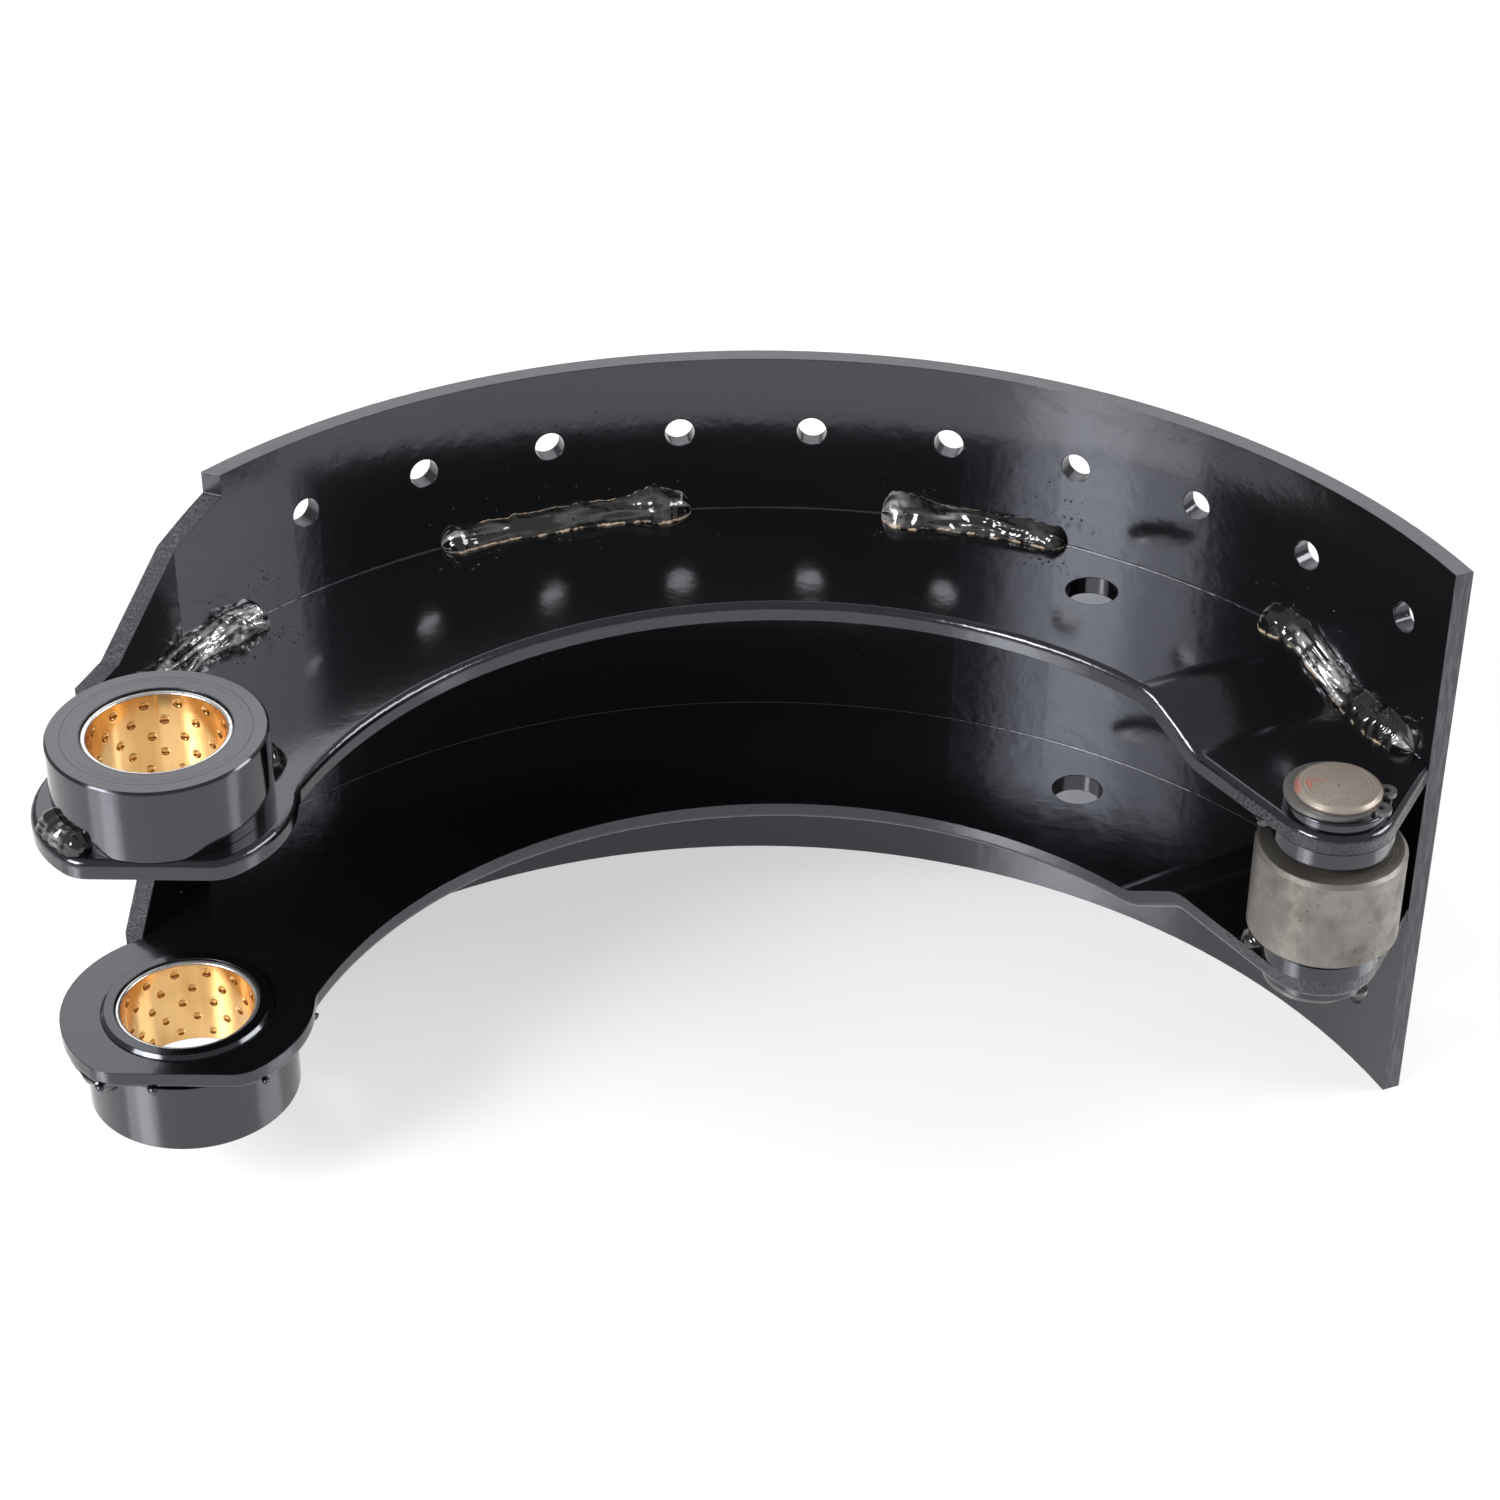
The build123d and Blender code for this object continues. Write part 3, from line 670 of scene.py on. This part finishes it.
def ring_stations(centre, radius, height, start, end, up):
    """Stations along the foot of a round boss."""
    length = radius * radians(end - start)
    count = int(length / 0.00025) + 1
    stations = []
    for i in range(count + 1):
        angle = radians(start + (end - start) * i / count)
        outwards = Vector((cos(angle), sin(angle), 0.0))
        point = Vector((centre.x, centre.y, height)) + outwards * radius
        stations.append((point, outwards, Vector((0.0, 0.0, up)), i * length / count))
    return stations


# Settings


def tint(name, description, red, green, blue):
    return bpy.props.FloatVectorProperty(
        name=name, description=description, subtype="COLOR", size=4, min=0.0, max=1.0,
        default=(red, green, blue, 1.0),
    )


def metres(name, description, default):
    return bpy.props.FloatProperty(name=name, description=description, unit="LENGTH", default=default)


def share(name, description, low, high, default):
    return bpy.props.FloatProperty(name=name, description=description, min=low, max=high, default=default)


def whole(name, description, low, high, default):
    return bpy.props.IntProperty(name=name, description=description, min=low, max=high, default=default)


class ShoeFinishes(bpy.types.PropertyGroup):
    """Colours and gloss of the shoe's finishes."""

    paint_colour: tint("Paint", "The black gloss where it is thick", 0.0028, 0.0028, 0.0034)
    paint_light_colour: tint("Thin paint", "The black gloss where it is thin", 0.0050, 0.0050, 0.0060)
    gloss_colour: tint("Gloss", "The tint of the gloss itself", 0.87, 0.89, 1.0)
    turned_colour: tint("Turned face", "The bosses' end faces through thin paint", 0.065, 0.064, 0.067)
    bare_toe_colour: tint("Bare toe", "Bare metal along the weld toes", 0.78, 0.65, 0.50)
    bronze_colour: tint("Bronze", "The bush lining", 0.80, 0.50, 0.212)
    bronze_deep_colour: tint("Bronze stain", "Deeper patches in the lining", 0.60, 0.345, 0.120)
    bronze_pocket_colour: tint("Pockets", "The lining's grease pockets", 0.50, 0.265, 0.080)
    bush_back_colour: tint("Bush back", "Bare steel behind the lining", 0.80, 0.80, 0.79)
    roller_colour: tint("Roller", "The roller's bare steel", 0.275, 0.257, 0.236)
    roller_dark_colour: tint("Roller mottle", "Darker patches on the roller", 0.155, 0.140, 0.126)
    pin_colour: tint("Pin", "The pin's bare steel", 0.44, 0.385, 0.33)
    pin_dark_colour: tint("Pin mottle", "Darker patches on the pin", 0.32, 0.275, 0.23)
    paint_roughness: share("Paint roughness", "Roughness of the black gloss", 0.02, 1.0, 0.14)
    paint_ior: share("Paint IOR", "Refractive index of the black gloss", 1.3, 2.2, 1.75)


class ShoeSizes(bpy.types.PropertyGroup):
    """Sizes of the pieces that are formed here."""

    weld_web_leg: metres("Weld on web", "How far a bead reaches over the web", 0.0058)
    weld_table_leg: metres("Weld on table", "How far a bead reaches up the table", 0.0062)
    weld_lump: metres("Weld lumps", "Height of the lumps on a bead", 0.0008)
    spatter_per_bead: whole("Spatter", "Specks of spatter round each bead", 0, 400, 90)
    pocket_diameter: metres("Pocket diameter", "Across a grease pocket", 0.0022)
    pocket_depth: metres("Pocket depth", "Depth of a grease pocket", 0.0004)
    pocket_rows: whole("Pocket rows", "Rows of pockets along the bush", 1, 9, 5)
    pockets_per_row: whole("Pockets per row", "Pockets round the bush in a row", 3, 30, 13)


class BRAKE_SHOE_OT_paint_pressings(bpy.types.Operator):
    """Paint the table and the webs in black gloss"""

    bl_idname = "brake_shoe.paint_pressings"
    bl_label = "Paint Table and Webs"

    def execute(self, context):
        finishes = context.scene.shoe_finishes
        dress(table_paint(finishes), "shoe_table")
        dress(gloss_paint(finishes), "web_upper", "web_lower")
        return {"FINISHED"}


class BRAKE_SHOE_OT_paint_bosses(bpy.types.Operator):
    """Paint the anchor bosses and the pin's bosses"""

    bl_idname = "brake_shoe.paint_bosses"
    bl_label = "Paint Bosses"

    def execute(self, context):
        finishes = context.scene.shoe_finishes
        for boss, centre in (("anchor_boss", ANCHOR_AXIS), ("pin_boss", ROLLER_AXIS)):
            paint = turned_paint(finishes, f"{boss}_gloss", centre, TURNED_FROM)
            dress(paint, f"{boss}_upper", f"{boss}_lower")
        return {"FINISHED"}


def none_of_it(t):
    """A quality that a bead lacks."""
    return 0.0


# Each bead is its start angle, its end angle and its shape: size, creases, ripples and silver film with
# painted highlight along it from its start, and the bareness of its toes. Angles are about the drum axis,
# from the cam end up.
TABLE_BEADS = (
    # beside the anchor boss: creased like foil, with silver film and painted highlight all along
    (137.3, 153.5, (
        lambda t: 0.96 + 0.10 * sin(9 * t),
        lambda t: 0.00100,
        none_of_it,
        lambda t: 1.0,
        0.5,
    )),
    # long and even, with a thick round lobe at its toe-side end
    (97.0, 119.6, (
        lambda t: 0.88 + 0.34 * hump(t, 0.13, 0.20) - 0.06 * ease((t - 0.6) / 0.4),
        lambda t: 0.00020 + 0.00012 * hump(t, 0.75, 0.4),
        none_of_it,
        lambda t: 0.05 + 0.8 * hump(t, 0.97, 0.07) + 0.4 * hump(t, 0.03, 0.05),
        1.0,
    )),
    # short, thick at its heel-side end and rippled towards the toe
    (63.6, 80.3, (
        lambda t: 0.84 + 0.34 * ease((t - 0.6) / 0.3),
        lambda t: 0.00010 + 0.00016 * hump(t, 0.4, 0.5),
        lambda t: 0.6 * hump(t, 0.2, 0.3),
        lambda t: 0.04 + 0.75 * hump(t, 0.95, 0.12) + 0.3 * hump(t, 0.62, 0.12),
        1.0,
    )),
    # over the joggle: a wide rippled tongue, a crease at mid-length with silver film and painted highlight on
    # it, and a thick head
    (25.6, 44.2, (
        lambda t: 0.82 + 0.34 * hump(t, 0.18, 0.36) + 0.30 * hump(t, 0.88, 0.22),
        lambda t: 0.00006 + 0.00080 * hump(t, 0.60, 0.24),
        lambda t: 1.7 * hump(t, 0.20, 0.30),
        lambda t: 1.0 * hump(t, 0.60, 0.24) + 0.7 * hump(t, 0.02, 0.05) + 0.5 * hump(t, 0.98, 0.05),
        0.85,
    )),
)
# the boss beads: even, faintly creased, with a little silver film and painted highlight past their middle
BOSS_SHAPE = (lambda t: 1.0, lambda t: 0.00015, none_of_it, lambda t: 0.35 * hump(t, 0.6, 0.15), 0.3)
# start and end angle about the boss, then the leg
BOSS_BEADS = ((199.0, 238.0, 0.0048), (24.0, 51.0, 0.0068))
PIN_BOSS_BEAD = (148.0, 186.0)
PIN_BOSS_LEGS = (0.0046, 0.0040)
# Paint in the corners: face, how far below the web's outer face, leg and seed.
SEAMS = (("outer", 0.0, 0.00045, 3.0), ("inner", WEB_FACE - WEB_INNER_FACE, 0.0003, 3.5))
SEAM_SPAN = (24.6, 151.0)
# Where paint gathered under the lower eye: x, y, and how wide each drip is.
DRIPS = (
    (-0.0185, -0.0262, 0.0011),
    (-0.0052, -0.0268, 0.0012),
    (0.0225, -0.0229, 0.0009),
    (0.0318, 0.0030, 0.0009),
)


class BRAKE_SHOE_OT_lay_table_beads(bpy.types.Operator):
    """Lay the weld beads between the table and the webs"""

    bl_idname = "brake_shoe.lay_table_beads"
    bl_label = "Lay Table Welds"

    def execute(self, context):
        sizes = context.scene.shoe_sizes
        material = bead_paint(context.scene.shoe_finishes)
        legs = sizes.weld_web_leg, sizes.weld_table_leg
        for side, mirrored in SIDES:
            for number, (start, end, shape) in enumerate(TABLE_BEADS, 1):
                lay_bead(
                    f"bead_{side}_{number}", corner_stations(start, end), legs, number + 10 * mirrored,
                    sizes.weld_lump, shape, material, f"table_weld_{side}_{number}", mirrored,
                )
        return {"FINISHED"}


class BRAKE_SHOE_OT_lay_boss_beads(bpy.types.Operator):
    """Lay the short weld beads at the anchor bosses and the pin's bosses"""

    bl_idname = "brake_shoe.lay_boss_beads"
    bl_label = "Lay Boss Welds"

    def execute(self, context):
        sizes = context.scene.shoe_sizes
        material = bead_paint(context.scene.shoe_finishes)
        for side, mirrored in SIDES:
            for number, (start, end, leg) in enumerate(BOSS_BEADS, 1):
                stations = ring_stations(ANCHOR_AXIS, BOSS_RADIUS, WEB_FACE, start, end, 1.0)
                lay_bead(
                    f"boss_bead_{side}_{number}", stations, (leg, leg * 1.04), number + 20 + 10 * mirrored,
                    sizes.weld_lump, BOSS_SHAPE, material, f"boss_weld_{side}_{number}", mirrored,
                )
            inner = WEB_INNER_FACE - JOGGLE_DEPTH
            stations = ring_stations(ROLLER_AXIS, PIN_BOSS_RADIUS, inner, *PIN_BOSS_BEAD, -1.0)
            lay_bead(
                f"pin_boss_bead_{side}", stations, PIN_BOSS_LEGS, 41 + 3 * mirrored,
                sizes.weld_lump, BOSS_SHAPE, material, f"pin_boss_weld_{side}", mirrored,
            )
        return {"FINISHED"}


# A dome's rings, from its foot inside the metal up: rise and spread.
DOME_RINGS = ((-0.25, 1.0), (0.15, 1.0), (0.62, 0.78), (0.92, 0.4))
DOME_SIDES = 9
SPATTER_FROM = 25  # degrees, just inside the cam end
JOGGLE_TOP = 48  # degrees, past which the web's face is flat


def dome(points, faces, place, normal, radius, height):
    """Adds a small dome that stands on a face."""
    across = normal.orthogonal().normalized()
    aside = normal.cross(across)
    base, sides = len(points), DOME_SIDES
    for rise, spread in DOME_RINGS:
        for j in range(sides):
            turn = 2 * pi * j / sides
            out = radius * spread * (1.0 + 0.18 * sin(3 * turn + base))
            foot = place + normal * (height * rise)
            points.append(foot + across * (out * cos(turn)) + aside * (out * sin(turn)))
    points.append(place + normal * height)
    top = base + (len(DOME_RINGS) - 1) * sides
    for ring in range(base, top, sides):
        for j in range(sides):
            a, b = ring + j, ring + (j + 1) % sides
            faces.append((a, b, b + sides, a + sides))
    for j in range(sides):
        faces.append((top + j, top + (j + 1) % sides, top + sides))
    faces.append(tuple(range(base + sides - 1, base - 1, -1)))


def lay_spatter(sizes):
    """Fine weld spatter under the paint, on the table and the webs round each bead."""
    dice = Random(11)
    material = bpy.data.materials["black_gloss_web"]
    points, faces = [], []
    for start, end, _ in TABLE_BEADS:
        for _ in range(sizes.spatter_per_bead):
            ends = dice.random() < 0.5
            angle = (dice.choice((start, end)) + dice.gauss(0, 1.0)) if ends else dice.uniform(start, end)
            away = 0.0075 + abs(dice.gauss(0, 0.004))
            radius = 0.00013 + 0.00030 * dice.random() ** 3
            if angle > CREASE_ANGLE - 0.5 or angle < SPATTER_FROM:
                continue
            foot = about_drum(SEAT_RADIUS, angle)
            inwards = (DRUM_AXIS - foot).normalized()
            if dice.random() < 0.5:
                place, normal = foot + Vector((0.0, 0.0, web_height(foot) + away)), inwards
            else:
                place, normal = foot + inwards * away, Vector((0.0, 0.0, 1.0))
                if angle < JOGGLE_TOP:
                    continue
                place.z = WEB_FACE
            dome(points, faces, place, normal, radius, radius * 0.9)
    for side, mirrored in SIDES:
        placed = [flipped(p) for p in points] if mirrored else points
        wound = [face[::-1] for face in faces] if mirrored else faces
        make_piece(f"spatter_{side}", placed, wound, [material])


def hang_drips(material):
    """Small drips of paint under the edge of the lower eye."""
    points, faces = [], []
    for x, y, width in DRIPS:
        dome(points, faces, Vector((x, y, -WEB_FACE)), Vector((0.0, 0.0, -1.0)), width, width * 1.5)
    make_piece("drips", points, faces, [material])


class BRAKE_SHOE_OT_run_paint_seams(bpy.types.Operator):
    """Run paint into the corners between the table and the webs, with spatter and drips of it"""

    bl_idname = "brake_shoe.run_paint_seams"
    bl_label = "Run Paint Seams"

    def execute(self, context):
        paint = bpy.data.materials["black_gloss_web"]
        for side, mirrored in SIDES:
            for face, below, leg, seed in SEAMS:
                stations = corner_stations(*SEAM_SPAN, spacing=0.0008, below=below)
                if mirrored:
                    stations = [(flipped(p), flipped(o), flipped(u), d) for p, o, u, d in stations]
                lay_seam(f"seam_{side}_{face}", stations, leg, seed, paint, mirrored != (below > 0))
        lay_spatter(context.scene.shoe_sizes)
        hang_drips(paint)
        return {"FINISHED"}


BUSH_STEPS = (480, 104)  # round it and along it
BUSH_CHAMFER = 0.0004
BURR_HEIGHT = 0.00004  # round each pocket
SPLIT_HALF_WIDTH, SPLIT_DEPTH = 0.00022, 0.00025  # where the rolled strip's ends meet


def bush_grid(sizes, mirrored):
    """Points of one bush: its lining with grease pockets, then its steel back, as a closed ring.

    Returns points, faces, one material index a face and how far each point is inside a pocket.
    """
    low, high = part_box("anchor_bush_lower" if mirrored else "anchor_bush_upper")
    bottom, top = sorted((abs(low[2]), abs(high[2])))
    middle_height = (bottom + top) / 2
    row_pitch = (top - bottom) * 0.93 / sizes.pocket_rows
    last_row = sizes.pocket_rows // 2
    pitch = 2 * pi / sizes.pockets_per_row
    turns, rises = BUSH_STEPS
    seam = radians(172.0 if mirrored else 100.0)
    edge = BUSH_BORE + BUSH_CHAMFER
    wall = [bottom + BUSH_CHAMFER + (top - bottom - 2 * BUSH_CHAMFER) * k / rises for k in range(rises + 1)]
    # the ring's section outside the lining: up over the end, down the back and under, with a
    # point close to the lining on each end that keeps its edge crisp
    close, corner = 0.00035, 0.0003
    rest = [
        (edge, top), (edge + close, top), (BUSH_BACK - corner, top), (BUSH_BACK, top - corner),
        (BUSH_BACK, bottom + corner), (BUSH_BACK - corner, bottom), (edge + close, bottom), (edge, bottom),
    ]
    points, pockets = [], []
    for i in range(turns):
        angle = 2 * pi * i / turns
        for height in wall:
            row = round((height - middle_height) / row_pitch)
            row = max(-last_row, min(last_row, row))
            phase = pitch * 0.5 * (row % 2) + 0.12 * wander(row * 1.7, 2.0)
            nearest = round((angle - phase) / pitch) * pitch + phase
            nudge = 0.0003 * wander(nearest * 9 + row * 5, 4.0)
            across = (angle - nearest) * BUSH_BORE + nudge
            away = hypot(across, height - middle_height - row * row_pitch - nudge)
            inside = max(1.0 - (2 * away / sizes.pocket_diameter) ** 2, 0.0)
            burr = max(1.0 - abs(away - sizes.pocket_diameter * 0.56) / 0.0003, 0.0)
            split = abs(((angle - seam + pi) % (2 * pi)) - pi) * BUSH_BORE
            groove = max(1.0 - split / SPLIT_HALF_WIDTH, 0.0)
            depth = sizes.pocket_depth * sqrt(inside) - BURR_HEIGHT * burr + SPLIT_DEPTH * groove
            radius = BUSH_BORE + depth
            points.append(Vector((radius * cos(angle), radius * sin(angle), height)))
            pockets.append(min(inside * 1.6 + groove * 0.8, 1.0))
        for radius, height in rest:
            points.append(Vector((radius * cos(angle), radius * sin(angle), height)))
            pockets.append(0.0)
    columns = rises + 1 + len(rest)
    faces, face_materials = [], []
    for i in range(turns):
        a, b = i * columns, ((i + 1) % turns) * columns
        for j in range(columns):
            k = (j + 1) % columns
            faces.append((a + j, a + k, b + k, b + j))
            face_materials.append(0 if j < rises else 1)
    if mirrored:
        points = [flipped(p) for p in points]
        faces = [face[::-1] for face in faces]
    return points, faces, face_materials, pockets


class BRAKE_SHOE_OT_fit_bushes(bpy.types.Operator):
    """Fit the anchor bushes, with grease pockets in their bronze"""

    bl_idname = "brake_shoe.fit_bushes"
    bl_label = "Fit Bushes"

    def execute(self, context):
        finishes, sizes = context.scene.shoe_finishes, context.scene.shoe_sizes
        lining = bronze_lining(finishes)
        stained = (0.5, 0.49, 0.47, 1.0)
        back = bare_steel("bush_back_steel", finishes.bush_back_colour, stained, 0.24, ANCHOR_AXIS)[0]
        for side, mirrored in SIDES:
            points, faces, face_materials, pockets = bush_grid(sizes, mirrored)
            make_piece(
                f"bush_{side}", points, faces, [lining, back.owner],
                [f"anchor_bush_{side}"], face_materials, {"pocket": pockets},
            )
        return {"FINISHED"}


class BRAKE_SHOE_OT_finish_roller(bpy.types.Operator):
    """Finish the roller, its pin and the circlips in bare steel"""

    bl_idname = "brake_shoe.finish_roller"
    bl_label = "Finish Roller and Pin"

    def execute(self, context):
        finishes = context.scene.shoe_finishes
        roller = bare_steel(
            "roller_steel", finishes.roller_colour, finishes.roller_dark_colour, 0.46, ROLLER_AXIS, 0.0009
        )[0]
        dress(roller.owner, "cam_roller")
        dress(pin_metal(finishes), "roller_pin")
        dress(clip_steel(), "circlip_upper", "circlip_lower")
        return {"FINISHED"}


LOOK_AT = Vector((0.15, 0.03, 0.0))
# name, place, width and height in metres, power in watts
LAMPS = (
    ("key_softbox", (-0.889, -0.711, 0.80), 0.74, 0.56, 15.0),
    ("key_core", (-0.842, -0.774, 0.80), 0.32, 0.50, 6.8),
    ("right_softbox", (1.40, 0.16, 0.82), 0.80, 0.50, 11.0),
    ("back_sweep", (0.15, 1.53, 1.00), 2.40, 1.10, 12.0),
)
FLOOR_GLOW = 0.58
CAMERA_LENS = 80.98  # millimetres, on a sensor 36 mm wide; its angles below are in radians
CAMERA_PLACE = Vector((0.14802, -0.67276, 0.50920))
CAMERA_YAW = -0.00745027
CAMERA_PITCH = 0.59805001
CAMERA_ROLL = 0.00579814


def camera_matrix():
    """The camera's place and aim."""
    right = Vector((cos(CAMERA_YAW), -sin(CAMERA_YAW), 0.0))
    level = cos(CAMERA_PITCH)
    ahead = Vector((sin(CAMERA_YAW) * level, cos(CAMERA_YAW) * level, -sin(CAMERA_PITCH)))
    up = right.cross(ahead)
    across = right * cos(CAMERA_ROLL) + up * sin(CAMERA_ROLL)
    above = up * cos(CAMERA_ROLL) - right * sin(CAMERA_ROLL)
    turn = Matrix((across, above, -ahead)).transposed().to_4x4()
    return Matrix.Translation(CAMERA_PLACE) @ turn


def soft_lamp(name, place, size_x, size_y, watts):
    """A rectangular softbox that faces the shoe, and that the camera doesn't see."""
    lamp = bpy.data.lights.new(name, "AREA")
    lamp.shape = "RECTANGLE"
    lamp.size, lamp.size_y = size_x, size_y
    lamp.energy = watts
    holder = add_object(name, lamp)
    aim = (LOOK_AT - Vector(place)).to_track_quat("-Z", "Y").to_matrix().to_4x4()
    holder.matrix_world = Matrix.Translation(place) @ aim
    holder.visible_camera = False


def pale_surroundings():
    """A white world behind the shoe, and a dim one for what lights it and for what it mirrors."""
    graph = Graph("pale_world", "worlds")
    strength = graph.for_camera(1.0, 0.40)
    bpy.context.scene.world = graph.finish("Background", Color=grey(1.0), Strength=strength)


def pale_floor():
    """A wide pale floor that keeps the shoe's shadow.

    It glows for camera, glossy and transmitted rays, but not as light that falls on the shoe.
    """
    height, half = cad_box[0][2] - 0.00002, 8.0
    corners = [(x, y, height) for x, y in ((-half, -half), (half, -half), (half, half), (-half, half))]
    mesh = bpy.data.meshes.new("floor")
    mesh.from_pydata(corners, [], [(0, 1, 2, 3)])
    graph = Graph("pale_floor")
    rays = graph.rays()
    direct = graph.math("MAXIMUM", rays["Is Camera Ray"], rays["Is Glossy Ray"])
    direct = graph.math("MAXIMUM", direct, rays["Is Transmission Ray"])
    material = graph.finish(
        Base_Color=grey(0.48),
        Roughness=0.17,
        IOR=1.6,
        Specular_IOR_Level=graph.for_camera(0.0, 1.0),
        Emission_Color=grey(1.0),
        Emission_Strength=graph.times(direct, FLOOR_GLOW),
    )
    mesh.materials.append(material)
    add_object("floor", mesh)


class BRAKE_SHOE_OT_build_stage(bpy.types.Operator):
    """Set the pale floor, the soft lamps and the camera"""

    bl_idname = "brake_shoe.build_stage"
    bl_label = "Build Stage"

    def execute(self, context):
        pale_floor()
        pale_surroundings()
        for lamp in LAMPS:
            soft_lamp(*lamp)
        camera = bpy.data.cameras.new("camera")
        camera.sensor_fit = "HORIZONTAL"
        camera.sensor_width = 36.0
        camera.lens = CAMERA_LENS
        camera.clip_start = 0.01
        holder = add_object("camera", camera)
        holder.matrix_world = camera_matrix()
        context.scene.camera = holder
        context.scene.view_settings.view_transform = "Standard"
        return {"FINISHED"}


# Panel and running order

OPERATORS = (
    BRAKE_SHOE_OT_paint_pressings,
    BRAKE_SHOE_OT_paint_bosses,
    BRAKE_SHOE_OT_lay_table_beads,
    BRAKE_SHOE_OT_lay_boss_beads,
    BRAKE_SHOE_OT_run_paint_seams,
    BRAKE_SHOE_OT_fit_bushes,
    BRAKE_SHOE_OT_finish_roller,
    BRAKE_SHOE_OT_build_stage,
)


class BRAKE_SHOE_PT_panel(bpy.types.Panel):
    """Steps and settings of the brake shoe"""

    bl_label = "Brake Shoe"
    bl_idname = "BRAKE_SHOE_PT_panel"
    bl_space_type = "VIEW_3D"
    bl_region_type = "UI"
    bl_category = "Brake Shoe"

    def draw(self, context):
        for group in (context.scene.shoe_finishes, context.scene.shoe_sizes):
            for name in group.__annotations__:
                self.layout.prop(group, name)
        for operator in OPERATORS:
            self.layout.operator(operator.bl_idname)


CLASSES = (ShoeFinishes, ShoeSizes, *OPERATORS, BRAKE_SHOE_PT_panel)


def register():
    for item in CLASSES:
        bpy.utils.register_class(item)
    bpy.types.Scene.shoe_finishes = bpy.props.PointerProperty(type=ShoeFinishes)
    bpy.types.Scene.shoe_sizes = bpy.props.PointerProperty(type=ShoeSizes)


def unregister():
    del bpy.types.Scene.shoe_finishes
    del bpy.types.Scene.shoe_sizes
    for item in reversed(CLASSES):
        bpy.utils.unregister_class(item)


def main():
    register()
    bpy.ops.brake_shoe.paint_pressings()
    bpy.ops.brake_shoe.paint_bosses()
    bpy.ops.brake_shoe.lay_table_beads()
    bpy.ops.brake_shoe.lay_boss_beads()
    bpy.ops.brake_shoe.run_paint_seams()
    bpy.ops.brake_shoe.fit_bushes()
    bpy.ops.brake_shoe.finish_roller()
    bpy.ops.brake_shoe.build_stage()


if __name__ == "__main__":
    main()
